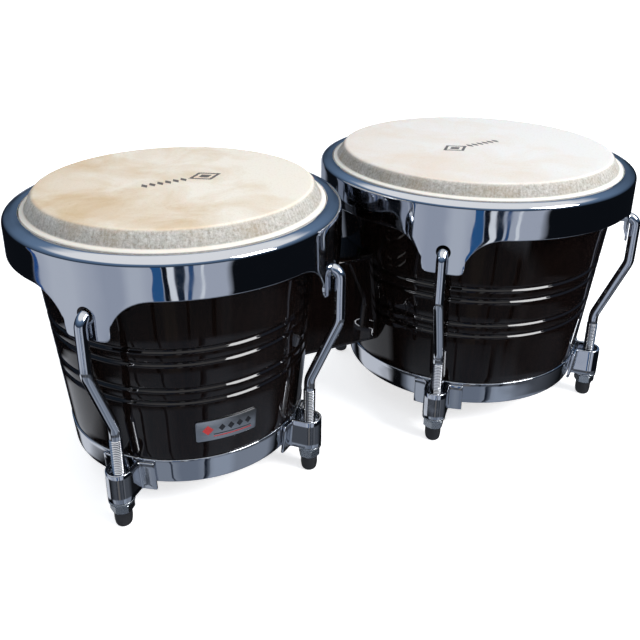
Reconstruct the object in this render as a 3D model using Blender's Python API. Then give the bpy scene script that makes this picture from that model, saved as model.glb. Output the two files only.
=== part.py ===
"""A pair of hook-tuned bongo drums joined by a centre block.

Lengths are in millimetres in this file and become metres when a mesh is made. +Z is up, and the rubber feet
stand on z = 0. +X runs from the small drum (macho) to the large drum (hembra), and -Y is the front. Each drum
is turned about its own axis, and its four lugs repeat every 90 degrees.
"""

import math

import bmesh
import bpy
from mathutils import Matrix, Vector

MM = 0.001
GAP = 0.3
FACET_GAP = 0.8  # between two round walls whose flats don't line up

# Driving dimensions shared by the two drums.
DRUM_SPACING = 230.5
HEAD_TOP_Z = 193.6
SKIN_THICKNESS = 1.2
COLLAR_OUT = 6.0  # how far the collar slopes out before it goes under the rim
SHELL_WALL = 11.0
SHELL_SHOULDER_Z = 168.0
BAND_BOTTOM_Z = 25.0
BAND_TOP_Z = 42.3
BAND_THICKNESS = 1.5
BAND_PROUD = 0.6
BAND_FLANGE = 8.0
RIM_TOP_Z = 185.0
RIM_BOTTOM_Z = 161.2
RIM_THICKNESS = 1.6
HOOP_BOTTOM_Z = 175.2
HOOP_TOP_Z = 182.6
LUG_COUNT = 4
FIRST_LUG_ANGLE = math.radians(45)
AROUND = 36

# The ears that hang from the rim over each lug.
EAR_TIP_Z = 135.6
EAR_TIP_FLAT = 5.0
EAR_TIP_RADIUS = 9.0
EAR_NOTCH = 1.5
EAR_NOTCH_Z = 145.6
EAR_FLANK_START = 38.0
EAR_FLANK_RADIUS = 25.0
EAR_HOLE_Z = 151.0
EAR_HOLE_RADIUS = 4.7

# The tuning hooks, M8 with a rolled thread, and what they pull on.
ROD_RADIUS = 3.6
THREAD_RADIUS = 4.0
HOOK_TOP_Z = 150.5
HOOK_TIP_REACH = 9.0
HOOK_BEND_RADIUS = 5.6
HOOK_OUT_OF_RIM = 4.4
CRANK_TOP_Z = 115.9
CRANK_BOTTOM_Z = 69.6
CRANK_BEND_RADIUS = 16.0
THREAD_TOP_Z = 62.0
ROD_END_Z = 4.2
ROD_OUT_OF_BAND = 12.6

BRACKET_BOTTOM_Z = 20.0
BRACKET_TOP_Z = 40.9
BRACKET_SHEET = 2.0
BRACKET_NOSE_RADIUS = 8.3
BRACKET_FLANGE_REACH = 17.5

WASHER_RADIUS = 8.2
WASHER_THICKNESS = 1.6
NUT_ACROSS_FLATS = 13.0
NUT_HEIGHT = 6.4
CLEAR_BORE_RADIUS = 4.45
FOOT_RADIUS = 5.7
FOOT_FLAT_RADIUS = 3.6
FOOT_SHOULDER_Z = 3.6

# Two pairs of turned grooves stand round each shell with a bead between the two of a pair.
GROOVE_DEPTH = 1.3
GROOVE_WIDTH = 3.6
GROOVE_PITCH = 9.0

# The centre block and the bolts that hold the shells to it.
BLOCK_DEPTH = 42.0
BLOCK_BOTTOM_Z = 59.5
BLOCK_TOP_Z = 129.5
BLOCK_EDGE_ROUND = 4.0
BOLT_HEIGHTS = (77.0, 105.0)
BOLT_RADIUS = 4.0
BOLT_HEAD_RADIUS = 7.5
BOLT_HEAD_HEIGHT = 5.3
BOLT_IN_BLOCK = 15.0
BOLT_WASHER_RADIUS = 10.0
BOLT_WASHER_THICKNESS = 1.8

BADGE_WIDTH = 38.4
BADGE_HEIGHT = 14.7
BADGE_THICKNESS = 0.8
BADGE_CENTRE_Z = 62.9
BADGE_CORNER = 1.6


class Drum:
    """The sizes that differ between the two drums."""

    def __init__(self, name, side, head_radius, rim_radius, foot_radius, taper, groove_centres):
        self.name = name
        self.side = side
        self.head_radius = head_radius
        self.rim_radius = rim_radius
        self.foot_radius = foot_radius
        self.taper = taper
        self.groove_centres = groove_centres
        self.rod_radius_low = foot_radius + ROD_OUT_OF_BAND
        self.rod_radius_high = rim_radius + HOOK_OUT_OF_RIM

    def wall(self, z):
        """The outer radius of the tapered shell at a height."""
        return self.foot_radius + self.taper * (z - BAND_BOTTOM_Z)


MACHO = Drum("macho", -1, 89.0, 104.8, 77.0, 0.0976, (117.2, 90.0))
HEMBRA = Drum("hembra", 1, 99.3, 115.2, 88.8, 0.1065, (115.6, 87.4))
CENTRE_SHIFT = (HEMBRA.rim_radius - MACHO.rim_radius) / 2


def drum_x(drum):
    """The drum's axis, placed so that the two rims end equally far from x = 0."""
    return drum.side * DRUM_SPACING / 2 - CENTRE_SHIFT


# ------------------------------------------------------------------ materials and objects


def material(name, rgb, roughness, metallic=0.0):
    made = bpy.data.materials.new(name)
    made.use_nodes = True
    shader = made.node_tree.nodes["Principled BSDF"]
    shader.inputs["Base Color"].default_value = (*rgb, 1.0)
    shader.inputs["Roughness"].default_value = roughness
    shader.inputs["Metallic"].default_value = metallic
    made.diffuse_color = (*rgb, 1.0)
    return made


def clear_scene():
    for obj in list(bpy.data.objects):
        bpy.data.objects.remove(obj, do_unlink=True)


def empty(name, location, parent=None):
    made = bpy.data.objects.new(name, None)
    made.location = Vector(location) * MM
    made.parent = parent
    bpy.context.scene.collection.objects.link(made)
    return made


def add_object(name, data, look, parent, location=(0, 0, 0), turn=0.0):
    """Puts mesh or curve data in the scene as one named part."""
    made = bpy.data.objects.new(name, data)
    made.location = Vector(location) * MM
    made.rotation_euler = (0, 0, turn)
    made.parent = parent
    if look is not None:
        data.materials.clear()
        data.materials.append(look)
    bpy.context.scene.collection.objects.link(made)
    return made


def finish_mesh(name, bm):
    """Turns a bmesh in millimetres into a smooth-shaded mesh in metres."""
    bmesh.ops.remove_doubles(bm, verts=bm.verts, dist=1e-4)
    bmesh.ops.recalc_face_normals(bm, faces=bm.faces)
    bmesh.ops.scale(bm, vec=(MM, MM, MM), verts=bm.verts)
    mesh = bpy.data.meshes.new(name)
    bm.to_mesh(mesh)
    bm.free()
    mesh.shade_smooth()
    mesh.set_sharp_from_angle(angle=math.radians(35))
    return mesh


def cutter(name, bm, parent):
    made = add_object(name, finish_mesh(name, bm), None, parent)
    made.hide_render = True
    made.display_type = "WIRE"
    return made


def cut(target, tool):
    modifier = target.modifiers.new("cut by " + tool.name, "BOOLEAN")
    modifier.operation = "DIFFERENCE"
    modifier.solver = "EXACT"
    modifier.object = tool


# ------------------------------------------------------------------ shape helpers


def turned(profile, steps=AROUND):
    """A closed outline of (radius, z) points, turned once round the Z axis."""
    bm = bmesh.new()
    points = [bm.verts.new((r, 0, z)) for r, z in profile]
    edges = [bm.edges.new((a, b)) for a, b in zip(points, points[1:] + points[:1])]
    bmesh.ops.spin(
        bm, geom=points + edges, cent=(0, 0, 0), axis=(0, 0, 1), dvec=(0, 0, 0),
        angle=2 * math.pi, steps=steps, use_merge=True, use_duplicate=False,
    )
    axis = [v for v in bm.verts if math.hypot(v.co.x, v.co.y) < 1e-3]
    bmesh.ops.remove_doubles(bm, verts=axis, dist=1e-3)
    loose = [e for e in bm.edges if not e.link_faces]
    bmesh.ops.delete(bm, geom=loose, context="EDGES")
    return bm


def rod_along_x(bm, radius, start, end, y, z, steps):
    """Adds a closed cylinder that runs along X."""
    middle = Matrix.Translation(((start + end) / 2, y, z))
    bmesh.ops.create_cone(
        bm, cap_ends=True, segments=steps, radius1=radius, radius2=radius, depth=end - start,
        matrix=middle @ Matrix.Rotation(math.pi / 2, 4, "Y"),
    )


def prism(outline, bottom_z, top_z, top_outline=None):
    """Extrudes an outline of (x, y) points; the top may follow another outline with as many points."""
    bm = bmesh.new()
    bottom = bm.faces.new([bm.verts.new((x, y, bottom_z)) for x, y in outline])
    raised = bmesh.ops.extrude_face_region(bm, geom=[bottom], use_keep_orig=True)
    top = [item for item in raised["geom"] if isinstance(item, bmesh.types.BMVert)]
    where = {(round(x, 4), round(y, 4)): i for i, (x, y) in enumerate(outline)}
    for vertex in top:
        index = where[(round(vertex.co.x, 4), round(vertex.co.y, 4))]
        x, y = (top_outline or outline)[index]
        vertex.co = (x, y, top_z)
    return bm


def arc(centre, radius, start_deg, end_deg, steps):
    """Points on an arc, both ends included."""
    angles = [math.radians(start_deg + (end_deg - start_deg) * i / steps) for i in range(steps + 1)]
    return [(centre[0] + radius * math.cos(a), centre[1] + radius * math.sin(a)) for a in angles]


def rounded_bend(before, corner, after, radius, steps):
    """The points of an arc that rounds the corner of a path."""
    back = (Vector(before) - Vector(corner)).normalized()
    ahead = (Vector(after) - Vector(corner)).normalized()
    half = back.angle(ahead) / 2
    centre = Vector(corner) + (back + ahead).normalized() * (radius / math.sin(half))
    start = Vector(corner) + back * (radius / math.tan(half)) - centre
    end = Vector(corner) + ahead * (radius / math.tan(half)) - centre
    turn = start.angle_signed(end)
    points = []
    for i in range(steps + 1):
        spoke = start.copy()
        spoke.rotate(Matrix.Rotation(-turn * i / steps, 2))
        points.append(tuple(centre + spoke))
    return points


# ------------------------------------------------------------------ the turned parts of a drum


def shell_outline(drum):
    """The wooden shell: a tapered wall, grooved outside, with a bevelled bearing edge at the top."""
    top = HEAD_TOP_Z - SKIN_THICKNESS - GAP
    foot = BAND_BOTTOM_Z + BAND_THICKNESS + GAP
    seat = BAND_PROUD - BAND_THICKNESS - GAP
    outer = [
        (drum.wall(foot) + seat, foot),
        (drum.wall(BAND_TOP_Z + GAP) + seat, BAND_TOP_Z + GAP),
        (drum.wall(BAND_TOP_Z + GAP), BAND_TOP_Z + GAP),
    ]
    for centre in sorted(drum.groove_centres):
        for middle in (centre - GROOVE_PITCH / 2, centre + GROOVE_PITCH / 2):
            low, high = middle - GROOVE_WIDTH / 2, middle + GROOVE_WIDTH / 2
            outer.append((drum.wall(low), low))
            outer.append((drum.wall(middle) - GROOVE_DEPTH, middle))
            outer.append((drum.wall(high), high))
    outer.append((drum.wall(SHELL_SHOULDER_Z), SHELL_SHOULDER_Z))
    outer.append((drum.head_radius - 1.2, top - 0.8))
    outer.append((drum.head_radius - 2.2, top))
    inner = [
        (drum.head_radius - 4.0, top - 0.6),
        (drum.wall(top - 6.0) - SHELL_WALL, top - 6.0),
        (drum.wall(foot) - SHELL_WALL, foot),
    ]
    return outer + inner


def skin_outline(drum):
    """The hide: a flat head, a collar that slopes out past the edge, and a tuck round the flesh hoop."""
    hoop = hoop_box(drum)
    t = SKIN_THICKNESS
    lip = drum.head_radius + COLLAR_OUT
    outer = [
        (0, HEAD_TOP_Z),
        (drum.head_radius - 1.0, HEAD_TOP_Z),
        (drum.head_radius + 0.8, HEAD_TOP_Z - 1.2),
        (lip, RIM_TOP_Z - 0.2),
        (hoop["inner"] - GAP, hoop["top"] - 1.0),
        (hoop["inner"] - GAP, hoop["bottom"] - GAP),
        (hoop["outer"] + GAP, hoop["bottom"] - GAP),
        (hoop["outer"] + GAP, hoop["top"] - 1.5),
        (hoop["outer"] + GAP + t, hoop["top"] - 1.5),
        (hoop["outer"] + GAP + t, hoop["bottom"] - GAP - t),
        (hoop["inner"] - GAP - t, hoop["bottom"] - GAP - t),
        (hoop["inner"] - GAP - t, hoop["top"] - 2.0),
        (drum.head_radius - 0.4, HEAD_TOP_Z - 2.0),
        (drum.head_radius - 1.6, HEAD_TOP_Z - t),
        (0, HEAD_TOP_Z - t),
    ]
    return outer


def hoop_box(drum):
    """The square section of the flesh hoop, which lies between the collar and the rim's skirt."""
    outside = drum.rim_radius - RIM_THICKNESS - FACET_GAP - SKIN_THICKNESS - GAP
    inside = drum.head_radius + COLLAR_OUT + 0.2 + GAP
    return {"inner": inside, "outer": outside, "bottom": HOOP_BOTTOM_Z, "top": HOOP_TOP_Z}


def hoop_outline(drum):
    box = hoop_box(drum)
    return [
        (box["inner"], box["bottom"]),
        (box["outer"], box["bottom"]),
        (box["outer"], box["top"]),
        (box["inner"], box["top"]),
    ]


def band_outline(drum):
    """The bottom band: a thin tapered hoop with a flange turned in under the shell."""
    bottom_radius = drum.wall(BAND_BOTTOM_Z) + BAND_PROUD
    top_radius = drum.wall(BAND_TOP_Z) + BAND_PROUD
    lip = BAND_BOTTOM_Z + BAND_THICKNESS
    return [
        (bottom_radius, BAND_BOTTOM_Z),
        (top_radius, BAND_TOP_Z),
        (top_radius - BAND_THICKNESS, BAND_TOP_Z),
        (drum.wall(lip) + BAND_PROUD - BAND_THICKNESS, lip),
        (bottom_radius - BAND_FLANGE, lip),
        (bottom_radius - BAND_FLANGE, BAND_BOTTOM_Z),
    ]


def ear_edge():
    """(distance from the ear's middle, height) along the lower edge, out to the plain skirt."""
    side = EAR_TIP_FLAT + EAR_TIP_RADIUS
    tip = arc((EAR_TIP_FLAT, EAR_TIP_Z + EAR_TIP_RADIUS), EAR_TIP_RADIUS, -90, -8, 2)
    flank_centre = RIM_BOTTOM_Z - EAR_FLANK_RADIUS
    shoulder = side + EAR_NOTCH
    flank_angles = math.degrees(math.acos((EAR_FLANK_START - shoulder) / EAR_FLANK_RADIUS))
    flank = arc((EAR_FLANK_START, flank_centre), EAR_FLANK_RADIUS, 180 - flank_angles, 90, 3)
    return [(0.0, EAR_TIP_Z)] + tip + [(side + 0.1, EAR_NOTCH_Z)] + flank


def rim_mesh(drum):
    """The steel rim: a rolled top, a straight skirt and four ears, swept round in uneven steps."""
    outside = drum.rim_radius
    inside = outside - RIM_THICKNESS
    lip = drum.head_radius + COLLAR_OUT + 0.7
    section = [
        (lip, RIM_TOP_Z - 1.9),
        (lip, RIM_TOP_Z - 0.5),
        (outside - 3.2, RIM_TOP_Z),
        (outside, RIM_TOP_Z - 2.6),
        (outside, RIM_BOTTOM_Z),
        (inside, RIM_BOTTOM_Z),
        (inside, RIM_TOP_Z - 3.0),
        (inside - 1.2, RIM_TOP_Z - 1.9),
    ]
    half = [(distance / outside, z) for distance, z in ear_edge()]
    ear = [(-a, z) for a, z in reversed(half[1:])] + half
    quarter = 2 * math.pi / LUG_COUNT
    plain_start, plain_end = half[-1][0], quarter - half[-1][0]
    plain_steps = 6
    step = (plain_end - plain_start) / plain_steps
    plain = [(plain_start + step * i, RIM_BOTTOM_Z) for i in range(1, plain_steps)]
    columns = []
    for lug in range(LUG_COUNT):
        columns += [(FIRST_LUG_ANGLE + lug * quarter + a, z) for a, z in ear + plain]
    bm = bmesh.new()
    rings = []
    for angle, bottom in columns:
        spoke = Matrix.Rotation(angle, 3, "Z")
        heights = [bottom if z == RIM_BOTTOM_Z else z for r, z in section]
        rings.append([bm.verts.new(spoke @ Vector((r, 0, h))) for (r, z), h in zip(section, heights)])
    for ring, following in zip(rings, rings[1:] + rings[:1]):
        for i in range(len(section)):
            j = (i + 1) % len(section)
            bm.faces.new((ring[i], ring[j], following[j], following[i]))
    return finish_mesh(drum.name + "_rim", bm)


def ear_hole_cutter(drum, parent):
    bm = bmesh.new()
    for lug in range(LUG_COUNT):
        spoke = Matrix.Rotation(FIRST_LUG_ANGLE + lug * 2 * math.pi / LUG_COUNT, 4, "Z")
        place = Matrix.Translation((drum.rim_radius, 0, EAR_HOLE_Z)) @ Matrix.Rotation(math.pi / 2, 4, "Y")
        bmesh.ops.create_cone(
            bm, cap_ends=True, segments=12, radius1=EAR_HOLE_RADIUS, radius2=EAR_HOLE_RADIUS, depth=12,
            matrix=spoke @ place,
        )
    return cutter(drum.name + "_ear_hole_cutter", bm, parent)


# ------------------------------------------------------------------ the pieces at each lug


def hook_curve(drum):
    """The tuning hook in its own radial plane: through the ear, down, cranked in, and on to the foot."""
    high, low = drum.rod_radius_high, drum.rod_radius_low
    corners = [
        (drum.rim_radius - HOOK_TIP_REACH, HOOK_TOP_Z),
        (high, HOOK_TOP_Z),
        (high, CRANK_TOP_Z),
        (low, CRANK_BOTTOM_Z),
        (low, ROD_END_Z),
    ]
    path = [corners[0], (corners[0][0] + 1.2, HOOK_TOP_Z)]
    path += rounded_bend(corners[0], corners[1], corners[2], HOOK_BEND_RADIUS, 4)
    path += rounded_bend(corners[1], corners[2], corners[3], CRANK_BEND_RADIUS, 2)
    path += rounded_bend(corners[2], corners[3], corners[4], CRANK_BEND_RADIUS, 2)
    sizes = [2.6] + [ROD_RADIUS] * (len(path) - 1)
    path += [(low, THREAD_TOP_Z + 0.4), (low, THREAD_TOP_Z), (low, ROD_END_Z + 1.0), (low, ROD_END_Z)]
    sizes += [ROD_RADIUS, THREAD_RADIUS, THREAD_RADIUS, THREAD_RADIUS - 0.9]
    curve = bpy.data.curves.new(drum.name + "_hook", "CURVE")
    curve.dimensions = "3D"
    curve.bevel_depth = MM
    curve.bevel_resolution = 2
    curve.use_fill_caps = True
    spline = curve.splines.new("POLY")
    spline.points.add(len(path) - 1)
    for point, (x, z), size in zip(spline.points, path, sizes):
        point.co = (x * MM, 0, z * MM, 1)
        point.radius = size
    return curve


def bracket_outline(drum, z):
    """The U-shaped strap round the rod, with two feet curved to the band at a height."""
    rod = drum.rod_radius_low
    nose, sheet = BRACKET_NOSE_RADIUS, BRACKET_SHEET
    back = drum.wall(z) + BAND_PROUD + GAP
    front = back + sheet

    def on_circle(radius, y):
        return (math.sqrt(radius * radius - y * y), y)

    half = arc((rod, 0), nose, 0, 90, 3)
    half += [(front + 1.6, nose), on_circle(front, nose + 1.6), on_circle(front, BRACKET_FLANGE_REACH)]
    half += [on_circle(back, y) for y in (BRACKET_FLANGE_REACH, nose + 1.0, nose - sheet)]
    half += arc((rod, 0), nose - sheet, 90, 0, 3)
    outer = half[:-4]
    inner = half[-4:]
    mirrored_outer = [(x, -y) for x, y in reversed(outer[1:])]
    mirrored_inner = [(x, -y) for x, y in reversed(inner[:-1])]
    return outer + inner + mirrored_inner + mirrored_outer


def bracket_mesh(drum):
    bm = prism(
        bracket_outline(drum, BRACKET_BOTTOM_Z), BRACKET_BOTTOM_Z, BRACKET_TOP_Z,
        bracket_outline(drum, BRACKET_TOP_Z),
    )
    return finish_mesh(drum.name + "_bracket", bm)


def nut_mesh():
    """A hexagon nut. Each ring of twelve points alternates between a corner and the middle of a flat."""
    flat = NUT_ACROSS_FLATS / 2
    corner = flat / math.cos(math.pi / 6)
    levels = [
        (corner, flat, 0.0),
        (corner, flat, NUT_HEIGHT),
        (CLEAR_BORE_RADIUS, CLEAR_BORE_RADIUS, NUT_HEIGHT),
        (CLEAR_BORE_RADIUS, CLEAR_BORE_RADIUS, 0.0),
    ]
    bm = bmesh.new()
    loops = []
    for at_corner, at_flat, z in levels:
        loop = []
        for i in range(12):
            radius = at_flat if i % 2 else at_corner
            angle = i * math.pi / 6
            loop.append(bm.verts.new((radius * math.cos(angle), radius * math.sin(angle), z)))
        loops.append(loop)
    for loop, following in zip(loops, loops[1:] + loops[:1]):
        for i in range(12):
            j = (i + 1) % 12
            bm.faces.new((loop[i], loop[j], following[j], following[i]))
    return finish_mesh("hexagon_nut", bm)


def washer_mesh(name, outer, bore, thickness, steps=12):
    return finish_mesh(name, turned([(bore, 0), (outer, 0), (outer, thickness), (bore, thickness)], steps))


def foot_mesh(top_z):
    """A rubber cap pushed over the end of the rod; the rod stops just above its floor."""
    bore = THREAD_RADIUS + GAP + 0.1
    floor = ROD_END_Z - GAP
    profile = [
        (0, 0),
        (FOOT_FLAT_RADIUS, 0),
        (FOOT_RADIUS, FOOT_SHOULDER_Z),
        (FOOT_RADIUS, top_z),
        (bore, top_z),
        (bore, floor),
        (0, floor),
    ]
    return finish_mesh("rubber_foot", turned(profile, 12))


# ------------------------------------------------------------------ the centre block and the badge


def shell_solid(drum, grow, steps=AROUND):
    """The shell's outer taper as a solid, grown by a clearance, to shape what sits against it."""
    bm = bmesh.new()
    low, high = BLOCK_BOTTOM_Z - 5, BLOCK_TOP_Z + 5
    bmesh.ops.create_cone(
        bm, cap_ends=True, segments=steps, radius1=drum.wall(low) + grow, radius2=drum.wall(high) + grow,
        depth=high - low, matrix=Matrix.Translation((drum_x(drum), 0, (low + high) / 2)),
    )
    return bm


def block_mesh():
    """A wooden block between the shells, long enough to be cut back to both of them."""
    half = BLOCK_DEPTH / 2
    left = drum_x(MACHO) + MACHO.wall(BLOCK_BOTTOM_Z) - 12
    right = drum_x(HEMBRA) - HEMBRA.wall(BLOCK_BOTTOM_Z) + 12
    top, bottom = BLOCK_TOP_Z, BLOCK_BOTTOM_Z
    bm = bmesh.new()
    size = Vector((right - left, 2 * half, top - bottom))
    middle = Vector(((left + right) / 2, 0, (top + bottom) / 2))
    bmesh.ops.create_cube(bm, size=1, matrix=Matrix.Translation(middle) @ Matrix.Diagonal((*size, 1)))
    long_edges = [e for e in bm.edges if abs(e.verts[0].co.x - e.verts[1].co.x) > 1]
    bmesh.ops.bevel(
        bm, geom=long_edges, offset=BLOCK_EDGE_ROUND, segments=2, profile=0.5, affect="EDGES", material=-1,
        offset_type="OFFSET",
    )
    return finish_mesh("centre_block", bm)


def bolt_seat(drum, z):
    """How far from the drum's axis the bolt's washer lies flat inside the wall."""
    narrowest = drum.wall(z - BOLT_WASHER_RADIUS) - SHELL_WALL
    facet = math.cos(math.pi / AROUND)
    return math.sqrt((narrowest * facet) ** 2 - BOLT_WASHER_RADIUS**2) - GAP


def bolt_mesh(length):
    """A round-headed bolt along +X, with the underside of its head at the origin."""
    profile = [
        (0, -BOLT_HEAD_HEIGHT),
        (BOLT_HEAD_RADIUS - 1.2, -BOLT_HEAD_HEIGHT),
        (BOLT_HEAD_RADIUS, -BOLT_HEAD_HEIGHT + 1.2),
        (BOLT_HEAD_RADIUS, 0),
        (BOLT_RADIUS, 0),
        (BOLT_RADIUS, length),
        (0, length),
    ]
    bm = turned(profile, 12)
    bmesh.ops.rotate(bm, verts=bm.verts, matrix=Matrix.Rotation(math.pi / 2, 3, "Y"))
    return finish_mesh("block_bolt", bm)


def badge_mesh():
    """A thin plate with rounded corners, bent to the shell and standing on it."""
    half_w, half_h, r = BADGE_WIDTH / 2, BADGE_HEIGHT / 2, BADGE_CORNER
    corners = []
    for sx, sz, start in ((1, 1, 0), (-1, 1, 90), (-1, -1, 180), (1, -1, 270)):
        corners += arc((sx * (half_w - r), sz * (half_h - r)), r, start, start + 90, 2)
    bm = bmesh.new()
    face = bm.faces.new([bm.verts.new((x, 0, z)) for x, z in corners])
    raised = bmesh.ops.extrude_face_region(bm, geom=[face], use_keep_orig=True)
    front = [item for item in raised["geom"] if isinstance(item, bmesh.types.BMVert)]
    bmesh.ops.translate(bm, verts=front, vec=(0, -BADGE_THICKNESS, 0))
    slices = 8
    for i in range(1, slices):
        x = -half_w + BADGE_WIDTH * i / slices
        everything = bm.verts[:] + bm.edges[:] + bm.faces[:]
        bmesh.ops.bisect_plane(bm, geom=everything, dist=1e-5, plane_co=(x, 0, 0), plane_no=(1, 0, 0))
    for vertex in bm.verts:
        z = BADGE_CENTRE_Z + vertex.co.z
        stand = GAP - vertex.co.y
        around = -math.pi / 2 + vertex.co.x / MACHO.wall(BADGE_CENTRE_Z)
        radius = MACHO.wall(z) + stand
        vertex.co = (radius * math.cos(around), radius * math.sin(around), z)
    return finish_mesh("badge", bm)


# ------------------------------------------------------------------ assembly


def lug_angle(index):
    return FIRST_LUG_ANGLE + index * 2 * math.pi / LUG_COUNT


def build_drum(drum, looks):
    body = empty(drum.name, (drum_x(drum), 0, 0))
    tension = empty(drum.name + "_tension", (0, 0, 0), body)

    wall = finish_mesh(drum.name + "_shell", turned(shell_outline(drum)))
    shell = add_object(drum.name + "_shell", wall, looks["lacquer"], body)
    skin = finish_mesh(drum.name + "_skin", turned(skin_outline(drum)))
    add_object(drum.name + "_skin", skin, looks["hide"], body)
    hoop = finish_mesh(drum.name + "_flesh_hoop", turned(hoop_outline(drum)))
    add_object(drum.name + "_flesh_hoop", hoop, looks["steel"], tension)
    band = finish_mesh(drum.name + "_bottom_band", turned(band_outline(drum)))
    add_object(drum.name + "_bottom_band", band, looks["chrome"], body)
    rim = add_object(drum.name + "_rim", rim_mesh(drum), looks["chrome"], tension)
    cut(rim, ear_hole_cutter(drum, tension))

    washer_z = BRACKET_BOTTOM_Z - GAP - WASHER_THICKNESS
    nut_z = washer_z - GAP - NUT_HEIGHT
    foot_top = nut_z - GAP
    hook = hook_curve(drum)
    bracket = bracket_mesh(drum)
    nut = nut_mesh()
    washer = washer_mesh("washer", WASHER_RADIUS, CLEAR_BORE_RADIUS, WASHER_THICKNESS)
    foot = foot_mesh(foot_top)
    for index in range(LUG_COUNT):
        angle = lug_angle(index)
        low = drum.rod_radius_low
        x, y = low * math.cos(angle), low * math.sin(angle)
        number = str(index + 1)
        add_object(f"{drum.name}_hook_{number}", hook, looks["chrome"], tension, turn=angle)
        add_object(f"{drum.name}_bracket_{number}", bracket, looks["chrome"], body, turn=angle)
        add_object(f"{drum.name}_washer_{number}", washer, looks["zinc"], body, (x, y, washer_z), angle)
        add_object(f"{drum.name}_nut_{number}", nut, looks["zinc"], body, (x, y, nut_z), angle)
        add_object(f"{drum.name}_foot_{number}", foot, looks["rubber"], tension, (x, y, 0), angle)
    return body, shell


def bolt_drum_to_block(drum, body, shell, block, looks):
    """Two bolts pass from inside the shell, through its wall, into the block."""
    inward = -drum.side
    turn = 0.0 if inward > 0 else math.pi
    clearance = BOLT_RADIUS + 0.6
    bores = bmesh.new()
    for number, z in enumerate(BOLT_HEIGHTS, start=1):
        washer_face = bolt_seat(drum, z)
        head_face = washer_face - BOLT_WASHER_THICKNESS - GAP
        tip = drum.wall(z) + BOLT_IN_BLOCK
        bolt = bolt_mesh(tip - head_face)
        add_object(
            f"{drum.name}_block_bolt_{number}", bolt, looks["zinc"], body, (inward * head_face, 0, z), turn
        )
        washer = washer_mesh("bolt_washer", BOLT_WASHER_RADIUS, clearance, BOLT_WASHER_THICKNESS)
        placed = add_object(
            f"{drum.name}_bolt_washer_{number}", washer, looks["zinc"], body,
            (inward * (washer_face - BOLT_WASHER_THICKNESS), 0, z),
        )
        placed.rotation_euler = (0, inward * math.pi / 2, 0)
        start, end = sorted((inward * (washer_face - 8), inward * (tip + 1.0)))
        rod_along_x(bores, clearance, start, end, 0, z, 12)
    bore = cutter(drum.name + "_bolt_bores", bores, body)
    cut(shell, bore)
    cut(block, bore)


def main():
    clear_scene()
    looks = {
        "lacquer": material("black lacquered wood", (0.012, 0.010, 0.009), 0.12),
        "hide": material("natural hide", (0.74, 0.66, 0.52), 0.6),
        "chrome": material("chromed steel", (0.78, 0.79, 0.81), 0.08, 1.0),
        "steel": material("plain steel", (0.45, 0.45, 0.45), 0.35, 1.0),
        "zinc": material("zinc plated steel", (0.66, 0.67, 0.68), 0.25, 1.0),
        "rubber": material("black rubber", (0.02, 0.02, 0.022), 0.6),
        "badge": material("brushed aluminium badge", (0.72, 0.74, 0.76), 0.3, 1.0),
    }
    macho, macho_shell = build_drum(MACHO, looks)
    hembra, hembra_shell = build_drum(HEMBRA, looks)
    block = add_object("centre_block", block_mesh(), looks["lacquer"], None)
    fit = 0.4
    for drum in (MACHO, HEMBRA):
        cut(block, cutter(drum.name + "_block_scribe", shell_solid(drum, fit), None))
    bolt_drum_to_block(MACHO, macho, macho_shell, block, looks)
    bolt_drum_to_block(HEMBRA, hembra, hembra_shell, block, looks)
    add_object("badge", badge_mesh(), looks["badge"], macho)


main()
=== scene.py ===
# %% [markdown]
# # A pair of bongo drums
#
# The part is two drums joined by a wooden block: the small drum (macho) at -X and the large one (hembra) at
# +X. Each has a tapered black shell, a hide head, a chromed rim with four eared lugs, and four cranked hooks
# that end in rubber caps, which are also the feet. The imported CAD model is loaded first as a fixed frame. Every
# finer piece made below takes its place from it, and all but the two heads move with one of its bodies.

# %% Load the frame
import math

import bmesh
import bpy
from mathutils import Matrix, Vector, noise


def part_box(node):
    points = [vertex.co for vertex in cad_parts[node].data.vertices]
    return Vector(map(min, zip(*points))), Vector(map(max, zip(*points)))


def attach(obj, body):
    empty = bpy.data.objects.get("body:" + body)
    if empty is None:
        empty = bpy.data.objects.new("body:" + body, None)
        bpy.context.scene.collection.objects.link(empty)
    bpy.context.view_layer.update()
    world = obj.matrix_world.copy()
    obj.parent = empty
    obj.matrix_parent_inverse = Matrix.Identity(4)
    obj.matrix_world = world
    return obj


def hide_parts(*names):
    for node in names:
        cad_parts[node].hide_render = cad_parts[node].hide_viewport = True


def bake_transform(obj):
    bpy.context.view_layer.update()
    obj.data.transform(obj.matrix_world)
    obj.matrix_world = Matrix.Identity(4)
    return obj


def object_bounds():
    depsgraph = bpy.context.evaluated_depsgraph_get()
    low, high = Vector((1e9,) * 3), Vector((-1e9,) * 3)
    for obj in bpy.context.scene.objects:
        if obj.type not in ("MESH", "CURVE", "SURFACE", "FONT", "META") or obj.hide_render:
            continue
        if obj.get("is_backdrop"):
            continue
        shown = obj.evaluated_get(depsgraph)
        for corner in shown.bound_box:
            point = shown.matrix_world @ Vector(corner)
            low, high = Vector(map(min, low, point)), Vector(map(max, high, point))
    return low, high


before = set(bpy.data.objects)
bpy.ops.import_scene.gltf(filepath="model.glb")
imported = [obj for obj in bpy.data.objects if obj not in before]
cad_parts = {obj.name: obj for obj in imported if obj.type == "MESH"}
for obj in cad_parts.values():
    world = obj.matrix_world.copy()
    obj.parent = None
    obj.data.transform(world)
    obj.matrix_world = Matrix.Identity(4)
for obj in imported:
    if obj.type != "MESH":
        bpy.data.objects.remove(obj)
cad_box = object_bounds()
MM = 0.001

# %% [markdown]
# The camera stands a little above the drums and to the left of their middle, and looks down by about twenty-two
# degrees. The lens is long enough to keep the two heads close to their true proportions. A small shift places
# the pair in the square picture without turning the camera, so upright lines keep their lean.

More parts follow.
